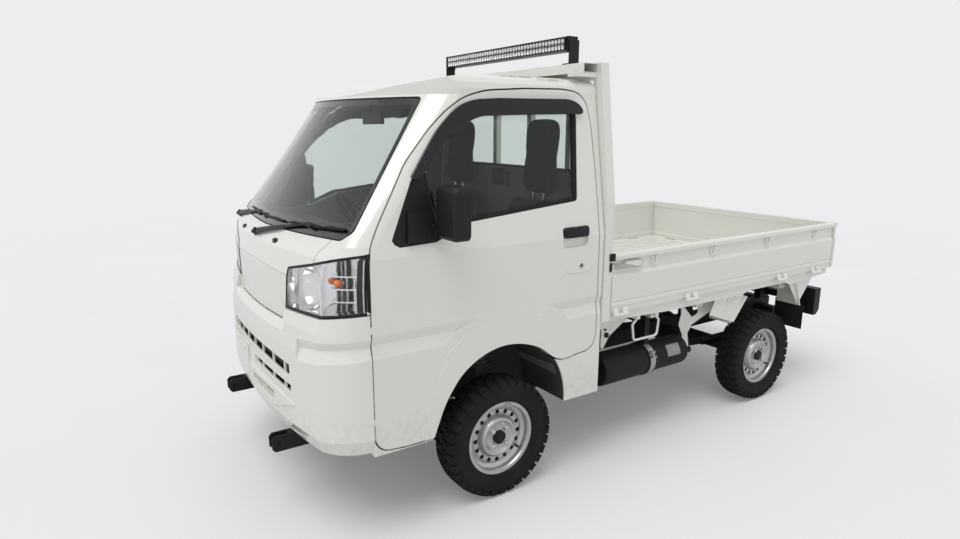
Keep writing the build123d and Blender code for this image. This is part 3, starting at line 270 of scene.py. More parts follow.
# How strongly black parts shine, and their grain: scale, strength and depth
MATT = 0.25
MOULDED = (900, 0.25, 0.0006)
CHASSIS = surface("chassis_black", (0.01, 0.01, 0.01), (0.5, 0.7), 0.3, grain=(300, 0.2, 0.001), shine=MATT)
surface("cast_metal", (0.05, 0.048, 0.045), (0.55, 0.8), 0.3, grain=(220, 0.3, 0.001), shine=MATT)
PLASTIC = surface("black_plastic", (0.01, 0.01, 0.011), (0.42, 0.55), 0.1, grain=MOULDED, shine=0.3)
GREY = surface("grey_plastic", (0.03, 0.03, 0.032), (0.5, 0.65), 0.1, grain=MOULDED, shine=0.3)
surface("smoked_plastic", (0.008, 0.008, 0.01), (0.08, 0.15), 0.05, shine=0.4)
glass("cab_glass", (0.8, 0.85, 0.83))
glass("clear_glass", (0.97, 0.97, 0.97))
CHROME = surface("lamp_chrome", (0.8, 0.8, 0.81), (0.05, 0.14), 0.03, metal=1.0)
FABRIC = surface("seat_fabric", (0.008, 0.008, 0.009), (0.8, 0.95), 0.2, grain=(1200, 0.5, 0.001), shine=0.15)
surface("bar_black", (0.008, 0.008, 0.008), (0.35, 0.5), 0.1, shine=0.3)
PALE = surface("pale_lamp", (0.62, 0.62, 0.62), (0.08, 0.15), 0.04, coat=0.6)
RED = surface("red_lamp", (0.35, 0.01, 0.01), (0.08, 0.15), 0.05, coat=0.6)
surface("flap_rubber", (0.012, 0.012, 0.012), (0.6, 0.8), 0.2, shine=MATT)
SILVER = surface("wheel_silver", (0.52, 0.52, 0.515), (0.3, 0.42), 0.07, scale=14, metal=0.9)
STEEL = surface("bright_steel", (0.6, 0.59, 0.58), (0.22, 0.4), 0.1, metal=1.0, grain=(400, 0.2, 0.0004))
ZINC = surface("zinc_band", (0.42, 0.42, 0.42), (0.35, 0.55), 0.12, metal=0.9, grain=(300, 0.3, 0.0006))
PLATE = surface("blank_label", (0.3, 0.3, 0.295), (0.3, 0.45), scale=60, metal=0.6)
AMBER = surface("amber_lamp", (0.75, 0.16, 0.01), (0.08, 0.2), 0.06, coat=0.6)
MIRROR = surface("mirror_silver", (0.8, 0.82, 0.83), (0.02, 0.05), 0.02, metal=1.0)
surface("dash_grey", (0.04, 0.04, 0.041), (0.5, 0.7), grain=(700, 0.3, 0.0006), shine=MATT)
PRINT = surface("black_print", (0.01, 0.01, 0.01), (0.3, 0.4), 0.1)
RUBBER = surface("black_rubber", (0.008, 0.008, 0.008), (0.5, 0.65), 0.15, grain=(700, 0.2, 0.0005),
                 shine=MATT)
DIODE = surface("diode_yellow", (0.75, 0.66, 0.3), (0.3, 0.4), 0.1)
TYRE = surface("tyre_rubber", (0.014, 0.0135, 0.013), (0.7, 0.9), 0.3, scale=9, grain=(180, 0.3, 0.001),
               shine=0.2)

# Slots that share a look, and nodes with a look of their own
LOOKS["muffler_black"] = CHASSIS
LOOKS["tyre"] = TYRE
OWN = {
    "cab_shell": "cab_paint", "door_left": "door_paint", "door_right": "door_paint", "bed": "bed_paint",
    "side_gate_left": "bed_paint", "side_gate_right": "bed_paint", "tailgate": "bed_paint",
    "headboard": "bed_paint", "tail_lamps": "black_plastic", "dashboard": "dash_grey",
}
for part in frame["record"]["subparts"]:
    mesh = NODES[part["node"]].data
    mesh.materials.clear()
    mesh.materials.append(LOOKS[OWN.get(part["node"], part["material_slot"])])


# Shapes of pieces

def add_object(name, data):
    thing = bpy.data.objects.new(name, data)
    bpy.context.collection.objects.link(thing)
    return thing


class Shape:
    """The vertices and faces of one piece. What adds to it gives it back."""

    def __init__(self):
        self.verts = []
        self.faces = []

    def rings(self, rings, closed=True, caps=True, loop=False):
        """Skins rings that have the same number of points. loop joins the last ring to the first."""
        first = len(self.verts)
        count = len(rings[0])
        self.verts.extend(tuple(point) for ring in rings for point in ring)
        for row in range(len(rings) if loop else len(rings) - 1):
            here = first + row * count
            there = first + (row + 1) % len(rings) * count
            for column in range(count if closed else count - 1):
                after = (column + 1) % count
                self.faces.append((here + column, here + after, there + after, there + column))
        if caps and closed and not loop:
            last = len(self.verts)
            self.faces.append(tuple(range(first, first + count))[::-1])
            self.faces.append(tuple(range(last - count, last)))
        return self

    def tube(self, path, radius, sides=10, caps=True):
        """A round bar along a path. radius is a number, or one for each point."""
        path = [Vector(point) for point in path]
        rings = []
        side = (path[1] - path[0]).normalized().orthogonal().normalized()
        for number, point in enumerate(path):
            along = (path[min(number + 1, len(path) - 1)] - path[max(number - 1, 0)]).normalized()
            side = (side - along * side.dot(along)).normalized()
            up = along.cross(side)
            wide = radius[number] if isinstance(radius, list) else radius
            turns = [tau * step / sides for step in range(sides)]
            rings.append([point + side * (wide * cos(turn)) + up * (wide * sin(turn)) for turn in turns])
        return self.rings(rings, caps=caps)

    def slab(self, corner, opposite, edge):
        """A box with its edges cut back by edge."""
        (x0, x1), (y0, y1), (z0, z1) = (sorted(pair) for pair in zip(corner, opposite))
        rings = []
        for z, back in ((z0, edge), (z0 + edge, 0), (z1 - edge, 0), (z1, edge)):
            a, b, c, d = x0 + back, x1 - back, y0 + back, y1 - back
            rings.append([(a + edge, c, z), (b - edge, c, z), (b, c + edge, z), (b, d - edge, z),
                          (b - edge, d, z), (a + edge, d, z), (a, d - edge, z), (a, c + edge, z)])
        return self.rings(rings)

    def make(self, name, material, body="truck", angle=40, smooth=True, outward=True, shift=SHIFT_Y):
        """Makes the piece, with its faces turned outward, on the body it rides on."""
        mesh = bpy.data.meshes.new(name)
        mesh.from_pydata([(x, y + shift, z) for x, y, z in self.verts], [], self.faces)
        mesh.update()
        mesh.materials.append(material)
        if outward:
            turned = bmesh.new()
            turned.from_mesh(mesh)
            bmesh.ops.recalc_face_normals(turned, faces=turned.faces)
            turned.to_mesh(mesh)
            turned.free()
        if smooth:
            mesh.polygons.foreach_set("use_smooth", [True] * len(mesh.polygons))
            mesh.set_sharp_from_angle(angle=math.radians(angle))
        piece = add_object(name, mesh)
        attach(piece, body)
        return piece


def around_x(profile, sides, middle=(0, 0), side=1, base=0.0):
    """Rings round an axis along X. profile gives X and radius, middle the Y and Z of the axis."""
    turns = [tau * step / sides for step in range(sides)]
    return [[(side * (base + x), middle[0] + radius * sin(turn), middle[1] + radius * cos(turn))
             for turn in turns] for x, radius in profile]


def squared(value, power):
    """A sine or cosine pulled towards 1 or -1, for a circle with flatter sides."""
    return math.copysign(abs(value) ** power, value)


def smooth_outline(points, radius, steps=6):
    """Rounds the corners of a closed outline of pairs."""
    result = []
    count = len(points)
    for number in range(count):
        corner = Vector(points[number])
        back = Vector(points[number - 1]) - corner
        on = Vector(points[(number + 1) % count]) - corner
        reach = min(radius, back.length * 0.45, on.length * 0.45)
        start = corner + back.normalized() * reach
        end = corner + on.normalized() * reach
        for step in range(steps + 1):
            share = step / steps
            bend = corner * (2 * share * (1 - share))
            result.append(tuple(start * (1 - share) ** 2 + bend + end * share ** 2))
    return result


def inset_outline(points, amount):
    """Moves a closed outline inwards by amount, which is one number, or a list with one for each point."""
    count = len(points)
    area = sum(points[n - 1][0] * points[n][1] - points[n][0] * points[n - 1][1] for n in range(count))
    turn = 1 if area > 0 else -1
    result = []
    for number in range(count):
        along = Vector(points[(number + 1) % count]) - Vector(points[number - 1])
        if along.length < 1e-9:
            result.append(points[number])
            continue
        along.normalize()
        move = amount[number] if isinstance(amount, list) else amount
        result.append(tuple(Vector(points[number]) + Vector((-along.y, along.x)) * turn * move))
    return result


def dense_outline(points, step):
    """Adds points so that no stretch is longer than step."""
    result = []
    for number, point in enumerate(points):
        start = Vector(point)
        end = Vector(points[(number + 1) % len(points)])
        parts = max(1, math.ceil((end - start).length / step))
        result.extend(tuple(start.lerp(end, part / parts)) for part in range(parts))
    return result


# Tyres: carcass turned round the axle, ribs on the sidewall, knobbly lugs

AXLE_Y = {"front": -0.95, "rear": 0.95}
TYRE_R = 0.2685
TREAD_X = 0.6525
TREAD_STEPS = 34
LUG_TAPER = 0.0012
LUG_EDGE = 0.0008
# The tread is flat up to CROWN from its middle, and falls away by CROWN_FALL beyond
CROWN = 0.046
CROWN_FALL = 0.34
# X and radius
CARCASS = [
    (0.6025, 0.1545), (0.601, 0.166), (0.595, 0.17), (0.588, 0.176), (0.585, 0.19), (0.5835, 0.205),
    (0.5832, 0.218), (0.5838, 0.232), (0.587, 0.245), (0.595, 0.2545), (0.607, 0.2595), (0.626, 0.2615),
    (0.6525, 0.262), (0.679, 0.2615), (0.698, 0.2595), (0.71, 0.2545), (0.718, 0.245), (0.7212, 0.232),
    (0.7216, 0.229), (0.7224, 0.2282), (0.7224, 0.2262), (0.7217, 0.2254), (0.7218, 0.218), (0.7215, 0.205),
    (0.72, 0.19), (0.7196, 0.184), (0.72, 0.183), (0.7196, 0.1815), (0.7184, 0.181), (0.717, 0.176),
    (0.71, 0.17), (0.702, 0.166), (0.6975, 0.1545),
]


def on_wheels(name, shape, material):
    """Makes a piece at all four wheels. X is that of a left wheel, Y and Z count from the axle."""
    pieces = {}
    for place in ("front_left", "front_right", "rear_left", "rear_right"):
        end, hand = place.split("_")
        side = dict(SIDES)[hand]
        copy = Shape()
        copy.verts = [(side * x, y + AXLE_Y[end], z + TYRE_R) for x, y, z in shape.verts]
        copy.faces = shape.faces
        pieces[place] = copy.make(name + "_" + place, material, "wheel_" + place, angle=35)
    return pieces


def add_lug(shape, corners, base, turn):
    """A block on the tread. Its corners are X and the way along the tread."""
    middle_x = sum(x for x, along in corners) / len(corners)
    middle_a = sum(along for x, along in corners) / len(corners)
    rings = []
    for radius, pull in ((base, -LUG_TAPER), (TYRE_R - LUG_EDGE, 0.0), (TYRE_R, LUG_EDGE)):
        ring = []
        for x, along in corners:
            share = 1 - pull / hypot(x - middle_x, along - middle_a)
            angle = turn + (middle_a + (along - middle_a) * share) / TYRE_R
            spot = middle_x + (x - middle_x) * share
            reach = radius - max(0.0, abs(spot - TREAD_X) - CROWN) * CROWN_FALL
            ring.append((spot, reach * sin(angle), reach * cos(angle)))
        rings.append(ring)
    shape.rings(rings)


def add_shoulder(shape, wall, side, reach, turn):
    """A tooth that runs down the sidewall to the radius reach."""
    rings = []
    for radius, proud, wide in ((0.2555, 0.0, 0.017), (0.25, 0.0008, 0.0175), (reach, 0.0009, 0.015)):
        ring = []
        for along, depth in ((-wide, -0.006), (-wide + 0.002, proud), (wide - 0.002, proud), (wide, -0.006)):
            angle = turn + along / TYRE_R
            ring.append((wall + side * depth, radius * sin(angle), radius * cos(angle)))
        rings.append(ring)
    shape.rings(rings)


def add_tyres():
    shape = Shape()
    shape.rings(around_x(CARCASS, 96), caps=False)
    for step in range(TREAD_STEPS):
        out, reach = (0.067, 0.24) if step % 2 else (0.069, 0.232)
        lugs = [
            (0.256, [(0.036, -0.017), (out, -0.021), (out, 0.018), (0.04, 0.016)]),
            (0.26, [(0.006, -0.019), (0.032, -0.015), (0.033, 0.002), (0.026, 0.016), (0.009, 0.007)]),
            (0.26, [(0.0, 0.004), (0.009, 0.01), (0.012, 0.021), (0.0, 0.022)]),
        ]
        for side, shift in ((1, 0.0), (-1, 0.5)):
            turn = tau * (step + shift) / TREAD_STEPS
            for base, corners in lugs:
                add_lug(shape, [(TREAD_X + side * x, side * along) for x, along in corners], base, turn)
            add_shoulder(shape, TREAD_X + side * 0.0695, side, reach, turn)
    for place, piece in on_wheels("tread", shape, TYRE).items():
        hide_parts("tyre_" + place)


# Shape of the cab's skin, as in the part: plan sections up the nose and windscreen
# Columns: height, half width, Y where the flat side ends, corner X, corner Y, nose Y
SECTIONS = [
    (0.372, CAB_HALF, -1.548, 0.622, -1.7, -1.768), (1.035, CAB_HALF, -1.546, 0.622, -1.698, -1.766),
    (BELT_Z, CAB_HALF, -1.542, 0.634, -1.676, -1.75), (1.178, 0.72368, -1.52, 0.668, -1.63, -1.712),
    (1.72, 0.641, -1.118, 0.562, -1.223, -1.388),
]
SIDE_LEAN = math.atan((CAB_HALF - 0.641) / (1.72 - BELT_Z))


def skin_row(z):
    z = min(max(z, SECTIONS[0][0]), SECTIONS[-1][0])
    for low, top in zip(SECTIONS[:-1], SECTIONS[1:]):
        if z <= top[0]:
            share = (z - low[0]) / (top[0] - low[0])
            return [a + (b - a) * share for a, b in zip(low, top)]


def skin_y(x, z, inward=0.0):
    """Y of the nose or windscreen at X and Z, moved in by inward."""
    half, side_y, edge_x, edge_y, nose = skin_row(z)[1:]
    x = abs(x)
    sag = edge_y - nose
    if x <= edge_x:
        radius = (edge_x * edge_x + sag * sag) / (2 * sag)
        return nose + radius - math.sqrt(radius * radius - x * x) + inward
    chord_angle = math.atan2(half - edge_x, side_y - edge_y)
    nose_angle = 2 * math.atan2(sag, edge_x)
    turn = min(chord_angle, math.pi / 2 - nose_angle - chord_angle)
    radius = hypot(half - edge_x, side_y - edge_y) / 2 / sin(turn)
    start = chord_angle - turn
    middle_x = half - radius * cos(start)
    middle_y = side_y + radius * sin(start)
    return middle_y - math.sqrt(max(radius ** 2 - (x - middle_x) ** 2, 0.0)) + inward


def skin_point(x, z, inward):
    """On the nose or the rounded corner, moved in by inward along the skin's own normal."""
    step = 0.001
    slope = (skin_y(x + step, z) - skin_y(x - step, z)) / (2 * step) if x < 0.7295 else 30.0
    steep = hypot(1, slope)
    return Vector((x - inward * slope / steep, skin_y(x, z) + inward / steep, z))


def side_point(side, y, z, out):
    """A point on the side of the cab, moved out along the side's own normal."""
    slope = SIDE_LEAN if z > BELT_Z else 0.0
    x = CAB_HALF - max(0.0, z - BELT_Z) * math.tan(SIDE_LEAN) + out * cos(slope)
    return (side * x, y, z + out * sin(slope))


# Windscreen: black printed border behind the glass, rubber seal round it. X and Z

SCREEN_EDGE = [
    (-0.558, 1.712), (0.558, 1.712), (0.672, 1.224), (0.64, 1.196), (0, 1.187), (-0.64, 1.196),
    (-0.672, 1.224),
]
SCREEN_SEAL_R = 0.0026
# How deep the print's two faces lie behind the skin
PRINT_FACES = (0.0068, 0.0074)
# Width of the print, then what it gains: how much, from which height on, over how much height
PRINT_WIDTH = 0.022
PRINT_GAINS = ((0.028, 1.26, -0.07), (0.01, 1.66, 0.05))


def add_windscreen_border():
    outer = dense_outline(smooth_outline(SCREEN_EDGE, 0.024, 4), 0.04)
    widths = []
    for x, z in outer:
        gains = [most * max(0.0, min(1.0, (z - start) / over)) for most, start, over in PRINT_GAINS]
        widths.append(PRINT_WIDTH + sum(gains))
    inner = inset_outline(outer, widths)
    front, back = PRINT_FACES
    rings = [[(x, skin_y(x, z, inward), z) for x, z in line] for line, inward in
             ((outer, front), (inner, front), (inner, back), (outer, back))]
    Shape().rings(rings, loop=True).make("windscreen_border", PRINT)
    path = [(x, skin_y(x, z, 0.0012), z) for x, z in inset_outline(outer, 0.0025)]
    Shape().tube(path + path[:1], SCREEN_SEAL_R, 8, caps=False).make("windscreen_seal", RUBBER)


# Door windows: rubber frame and belt strip. Y and Z

GLASS_EDGE = [
    (-0.53, 1.64), (-0.556, 1.285), (-1.117, 1.235), (-1.27, 1.174), (-1.302, 1.44), (-1.318, 1.468),
    (-1.238, 1.572), (-1.118, 1.672), (-1.06, 1.69), (-0.575, 1.702), (-0.54, 1.69),
]
# Widths of the rubber along the belt, up the rear edge and elsewhere, and where the first two end
BELT_STRIP = 0.019
BELT_STRIP_Z = 1.3
REAR_STRIP = 0.02
REAR_STRIP_Y = -0.62
OTHER_STRIP = 0.011


def add_window_frames():
    outer = dense_outline(smooth_outline(GLASS_EDGE, 0.014, 4), 0.05)
    widths = [BELT_STRIP if z < BELT_STRIP_Z else REAR_STRIP if y > REAR_STRIP_Y else OTHER_STRIP
              for y, z in outer]
    inner = inset_outline(outer, widths)
    lip = inset_outline(outer, -0.001)
    section = [(lip, -0.004), (inset_outline(outer, 0.004), -0.0015), (inset_outline(inner, -0.004), -0.0045),
               (inner, -0.0085), (inner, -0.0178), (lip, -0.0178)]
    for name, side in SIDES:
        rings = [[side_point(side, y, z, out) for y, z in line] for line, out in section]
        shape = Shape().rings(rings, loop=True)
        shape.make("window_frame_" + name, RUBBER, "door_body_" + name, angle=50)


# Light bar: two rows of reflectors with their diodes behind the lens

BAR_COLUMNS = 44
BAR_ROW = 0.0125
CUP_HIGH = 0.0124
DIODE_HALF = 0.0042
# How much of the cup's pitch a ring takes, and how deep it lies
CUP = ((0.9, 0.0), (0.86, 0.0012), (0.42, 0.011), (0.36, 0.0112))
# How far a ring is drawn from a circle towards a square
CUP_SQUARE = 0.15


def add_light_bar():
    bar_low, bar_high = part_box("light_bar_lens")
    left, right = bar_low[0] + 0.004, bar_high[0] - 0.004
    pitch = (right - left) / BAR_COLUMNS
    cups = Shape()
    lights = Shape()
    face_y = bar_high[1] - SHIFT_Y + 0.001
    middle = (bar_low[2] + bar_high[2]) / 2
    for z in (middle - BAR_ROW, middle + BAR_ROW):
        for column in range(BAR_COLUMNS):
            x = left + (column + 0.5) * pitch
            rings = []
            for wide, deep in CUP:
                ring = []
                for step in range(12):
                    turn = tau * step / 12
                    square = 1 / max(abs(cos(turn)), abs(sin(turn))) - 1
                    grow = wide * (1 + square * CUP_SQUARE)
                    ring.append((x + pitch / 2 * grow * cos(turn), face_y + deep,
                                 z + CUP_HIGH * grow * sin(turn)))
                rings.append(ring)
            cups.rings(rings, caps=False)
            lights.slab((x - DIODE_HALF, face_y + 0.0095, z - DIODE_HALF),
                        (x + DIODE_HALF, face_y + 0.0118, z + DIODE_HALF), 0.0008)
    cups.make("bar_reflectors", CHROME, angle=50, outward=False)
    lights.make("bar_diodes", DIODE, smooth=False)


# Wipers: flat arms, jointed blades, and the washers' nozzles

# Columns: pivot X and Z, X and Z where the arm holds the blade, blade from and to in X
WIPERS = [
    (-0.656, 1.161, -0.095, 1.236, -0.33, 0.198), (-0.039, 1.154, 0.43, 1.24, 0.262, 0.64),
]
WIPER_NORMAL = Vector((0, -0.75, 0.66)).normalized()
# Share of the way along the arm, height over the straight line, width
WIPER_ARM = [
    (0, 0, 0.026), (0.04, 0.004, 0.028), (0.35, 0.006, 0.021), (0.55, 0.003, 0.017), (0.6, 0.001, 0.011),
    (0.97, 0.0, 0.009), (1.0, -0.002, 0.009),
]
# Section of a strap, in half widths and thicknesses
STRAP = ((-1, -0.5), (1, -0.5), (1, 0.2), (0.7, 0.5), (-0.7, 0.5), (-1, 0.2))
# Stretches of a blade, and of each arch on it; the blade's height at X 0, and how it bends up to BLADE_END
BLADE_PARTS = 12
ARCH_PARTS = 4
BLADE_Z = 1.222
BLADE_BEND = 0.006
BLADE_END = 0.416


def on_screen(x, z, off):
    return Vector((x, skin_y(x, z) - off, z))


def strap(shape, path, widths, thick):
    """A flat bar along a path on the windscreen."""
    rings = []
    for number, point in enumerate(path):
        along = (path[min(number + 1, len(path) - 1)] - path[max(number - 1, 0)]).normalized()
        across = along.cross(WIPER_NORMAL).normalized()
        out = across.cross(along).normalized()
        across = across * widths[number] / 2
        out = out * thick
        rings.append([point + across * wide + out * high for wide, high in STRAP])
    shape.rings(rings)


def add_wipers():
    arms = Shape()
    rubber = Shape()
    for pivot_x, pivot_z, hold_x, hold_z, start_x, end_x in WIPERS:
        base = on_screen(pivot_x, pivot_z, 0.012)
        hold = on_screen(hold_x, hold_z, 0.022)
        path = [base.lerp(hold, share) + WIPER_NORMAL * up for share, up, wide in WIPER_ARM]
        strap(arms, path, [wide for share, up, wide in WIPER_ARM], 0.008)
        arms.tube([base + WIPER_NORMAL * up for up in (0.008, 0.012, -0.012, -0.022)],
                  [0.008, 0.0145, 0.0145, 0.0155], 20)
        across = [start_x + (end_x - start_x) * step / BLADE_PARTS for step in range(BLADE_PARTS + 1)]
        blade = [on_screen(x, BLADE_Z + BLADE_BEND * (x / BLADE_END) ** 2, 0.0105) for x in across]
        strap(arms, blade, [0.005] + [0.0085] * (BLADE_PARTS - 1) + [0.005], 0.005)
        for first in range(0, BLADE_PARTS, ARCH_PARTS):
            arch = []
            for step in range(ARCH_PARTS + 1):
                lift = 0.004 + 0.009 * sin(math.pi * step / ARCH_PARTS)
                arch.append(blade[first + step] + WIPER_NORMAL * lift)
            strap(arms, arch, [0.006] * len(arch), 0.0035)
        lip = [on_screen(spot.x, spot.z, 0.0045) for spot in blade]
        strap(rubber, lip, [0.0035] * len(lip), 0.0085)
        y, z = blade[BLADE_PARTS // 2].yz
        arms.slab((hold_x - 0.016, y - 0.014, z - 0.008), (hold_x + 0.016, y + 0.002, z + 0.012), 0.003)
    piece = arms.make("wiper_set", PLASTIC, angle=30)
    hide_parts("wiper_arms")
    rubber.make("wiper_rubbers", RUBBER)
    nozzles = Shape()
    for x, z in ((-0.292, 1.142), (0.204, 1.146)):
        y = on_screen(x, z, -0.004).y
        nozzles.slab((x - 0.023, y - 0.01, z - 0.012), (x + 0.023, y + 0.01, z + 0.009), 0.0055)
    nozzles.make("washer_nozzles", PLASTIC)


# Seats: pads blown up as cloth, then sewn into channels; tall headrests on chromed posts

PAD_AROUND = 96
PAD_UP = 48
PAD_POWER = 1 / 3
PAD_VOXEL = 0.008
PAD_PRESSURE = 4.0
PAD_FRAMES = 20
# Before it is blown up, a pad is smaller by these shares of its cap: where it is thinnest, and elsewhere
PAD_THIN = 1.4
PAD_WIDE = 0.3
# Columns: place, middle X, half width
SEATS = [("left", 0.39, 0.215), ("right", -0.33, 0.235)]


def superpad(size):
    """A closed block with rounded faces, round the origin."""
    rings = []
    for row in range(PAD_UP + 1):
        lift = -math.pi / 2 + math.pi * row / PAD_UP
        wide, high = squared(cos(lift), PAD_POWER), squared(sin(lift), PAD_POWER)
        turns = [tau * column / PAD_AROUND for column in range(PAD_AROUND)]
        rings.append([(wide * squared(cos(turn), PAD_POWER) * size[0] / 2,
                       wide * squared(sin(turn), PAD_POWER) * size[1] / 2,
                       high * size[2] / 2) for turn in turns])
    return Shape().rings(rings, caps=False)


def settle(piece):
    """Turns what the modifiers make into the piece's own mesh."""
    depsgraph = bpy.context.evaluated_depsgraph_get()
    mesh = bpy.data.meshes.new_from_object(piece.evaluated_get(depsgraph))
    piece.modifiers.clear()
    piece.data = mesh
    return mesh


def blow_up(piece, cap):
    """Cloth under pressure, with no gravity; no point moves further than cap."""
    remesh = piece.modifiers.new("remesh", "REMESH")
    remesh.mode = "VOXEL"
    remesh.voxel_size = PAD_VOXEL
    mesh = settle(piece)
    start = [vert.co.copy() for vert in mesh.vertices]
    cloth = piece.modifiers.new("stuffing", "CLOTH")
    cloth.settings.quality = 5
    cloth.settings.use_pressure = True
    cloth.settings.uniform_pressure_force = PAD_PRESSURE
    cloth.settings.effector_weights.gravity = 0.0
    cloth.collision_settings.use_collision = False
    cloth.point_cache.frame_start = 1
    cloth.point_cache.frame_end = PAD_FRAMES
    for number in range(1, PAD_FRAMES + 1):
        bpy.context.scene.frame_set(number)
    mesh = settle(piece)
    bpy.context.scene.frame_set(1)
    for vert, spot in zip(mesh.vertices, start):
        move = vert.co - spot
        if move.length > cap:
            vert.co = spot + move * (cap / move.length)
    ironed = piece.modifiers.new("ironed", "SMOOTH")
    ironed.factor = 0.5
    ironed.iterations = 12
    finer = piece.modifiers.new("finer", "SUBSURF")
    finer.levels = 1
    finer.render_levels = 1
    settle(piece)


# Seams of a pad. axis and way give the sewn face. Two seams run along its sides at side, and between them two
# run across at crosses along cross_axis, all as shares of half the pad's size. depths is for the two kinds
TOP_SEAMS = {
    "axis": 2, "way": 1, "side": 0.62, "cross_axis": 1, "crosses": (0.15, -0.4), "depths": (0.011, 0.007),
}
FRONT_SEAMS = {
    "axis": 1, "way": -1, "side": 0.6, "cross_axis": 2, "crosses": (0.45, -0.3), "depths": (0.009, 0.006),
}
SEAM_WIDTHS = (0.06, 0.05)


def groove(distance, kind, seams):
    """How far a seam pulls the cover in, at a distance from its thread."""
    return seams["depths"][kind] * max(0.0, 1 - abs(distance) / SEAM_WIDTHS[kind]) ** 2


def sewn(unit, seams):
    """How far the seams pull the cover in at a place on the pad, given from -1 to 1 each way."""
    beyond = abs(unit[0]) - seams["side"]
    pull = groove(beyond, 0, seams)
    if beyond < 0:
        pull += sum(groove(unit[seams["cross_axis"]] - cross, 1, seams) for cross in seams["crosses"])
    return pull


def add_pad(name, centre, size, tilt, cap, seams=None):
    small = [length - cap * (PAD_THIN if length == min(size) else PAD_WIDE) for length in size]
    pad = superpad(small).make(name, FABRIC, angle=60, shift=0.0)
    blow_up(pad, cap)
    turn = Matrix.Rotation(math.radians(tilt), 3, "X")
    centre = Vector(centre) + Vector((0, SHIFT_Y, 0))
    for vert in pad.data.vertices:
        spot = list(vert.co)
        unit = [2 * co / length for co, length in zip(spot, size)]
        if seams and seams["way"] * unit[seams["axis"]] > 0.25:
            spot[seams["axis"]] -= seams["way"] * sewn(unit, seams)
        vert.co = turn @ Vector(spot) + centre
    pad.data.polygons.foreach_set("use_smooth", [True] * len(pad.data.polygons))
    return pad


def add_seats():
    posts = Shape()
    bases = Shape()
    for place, x, half in SEATS:
        cushion = add_pad("seat_cushion_" + place, (x, -0.785, 0.9), (2 * half, 0.45, 0.13), -3,
                          0.016, TOP_SEAMS)
        back = add_pad("seat_back_" + place, (x, -0.556, 1.105), (2 * half, 0.085, 0.35), -13,
                       0.014, FRONT_SEAMS)
        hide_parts("seats")
        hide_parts("seats")
        add_pad("headrest_" + place, (x, -0.507, 1.463), (0.206, 0.088, 0.362), -4.5, 0.012)
        for post_x in (x - 0.04, x + 0.04):
            posts.tube([(post_x, -0.52, 1.24), (post_x, -0.516, 1.33)], 0.006, 12)
        bases.slab((x - half + 0.03, -0.98, 0.8002), (x + half - 0.03, -0.6, 0.842), 0.004)
    posts.make("headrest_posts", CHROME)
    bases.make("seat_bases", PLASTIC)


# Headlamps: rubber gasket, dark rim, amber bulb. The outline is X and Z

LAMP_EDGE = [
    (0.349, 0.903), (0.362, 0.985), (0.377, 1.068), (0.55, 1.107), (0.681, 1.141), (0.7305, 1.1535),
    (0.7305, 0.9368), (0.688, 0.928), (0.61, 0.915),
]
# Upright strip behind the lamp: its Y, its heights, and its section as the way out and along Y
STRIP_Y = -1.559
STRIP_Z = (0.942, 0.944, 1.0, 1.06, 1.12, 1.146, 1.149)
STRIP = ((-0.003, -0.0052), (0.0006, -0.0052), (0.0014, -0.003), (0.0014, 0.003), (0.0006, 0.0052),
         (-0.003, 0.0052))
# How far the rim's section lies in from the outline, and behind the skin
RIM = ((0.0032, 0.0034), (0.0088, 0.0034), (0.0092, 0.0039), (0.0032, 0.0039))
# Share of the bulb's length, and radius
BULB = ((0, 0.012), (0.25, 0.012), (0.5, 0.014), (0.75, 0.0135), (0.9, 0.009), (1.0, 0.002))


def lamp_line(inset, inward, side):
    points = []
    for x, z in inset_outline(dense_outline(LAMP_EDGE, 0.012), inset):
        spot = skin_point(min(x, skin_row(z)[1] - 0.0005 - inset * 0.4), z, inward)
        points.append(Vector((side * spot.x, spot.y, spot.z)))
    return points


def add_headlamps():
    gasket = Shape()
    rim = Shape()
    bulb = Shape()
    for name, side in SIDES:
        line = lamp_line(0.0014, 0.0014, side)
        thick = [0.0046 if abs(spot.x) > 0.72 else 0.0032 for spot in line]
        gasket.tube(line + line[:1], thick + thick[:1], 8, caps=False)
        rim.rings([lamp_line(inset, inward, side) for inset, inward in RIM], loop=True)
        start = skin_point(0.664, 1.038, 0.07)
        end = skin_point(0.672, 1.048, 0.02)
        path = [start.lerp(end, share) for share, radius in BULB]
        bulb.tube([(side * spot.x, spot.y, spot.z) for spot in path], [radius for share, radius in BULB], 16)
        strip = []
        for z in STRIP_Z:
            wide = 0.3 if z in (STRIP_Z[0], STRIP_Z[-1]) else 1.0
            strip.append([(side * (skin_row(z)[1] + out), STRIP_Y + wide * along, z) for out, along in STRIP])
        gasket.rings(strip)
    gasket.make("lamp_gaskets", RUBBER)
    rim.make("lamp_rims", GREY, smooth=False)
    bulb.make("indicator_bulbs", AMBER)


# Doors: black pull handle in its cup, key lock with the pressed line below it

# X and Z of the handle's middle, its half sizes, then Y and how much of its full section it has there
HANDLE_XZ = (0.7255, 1.15)
HANDLE_HALF = (0.01, 0.0245)
HANDLE = [(-0.6435, 0.4), (-0.642, 0.8), (-0.635, 1.0), (-0.511, 1.0), (-0.501, 0.8), (-0.499, 0.4)]
SMILE = [(-0.632, 1.0), (-0.628, 0.984), (-0.612, 0.975), (-0.58, 0.971), (-0.54, 0.971), (-0.508, 0.974),
         (-0.494, 0.984), (-0.491, 0.998)]
SMILE_R = [0.001] + [0.0034] * (len(SMILE) - 2) + [0.001]
LOCK_YZ = (-0.54, 0.999)
LOCK = [(0.729, 0.0125), (0.7325, 0.0125), (0.7335, 0.0115), (0.7335, 0.0085), (0.7318, 0.008), (0.7318, 0.0)]
LOCK_FACE = [(0.7316, 0.0088), (0.7322, 0.0084), (0.7324, 0.0001)]


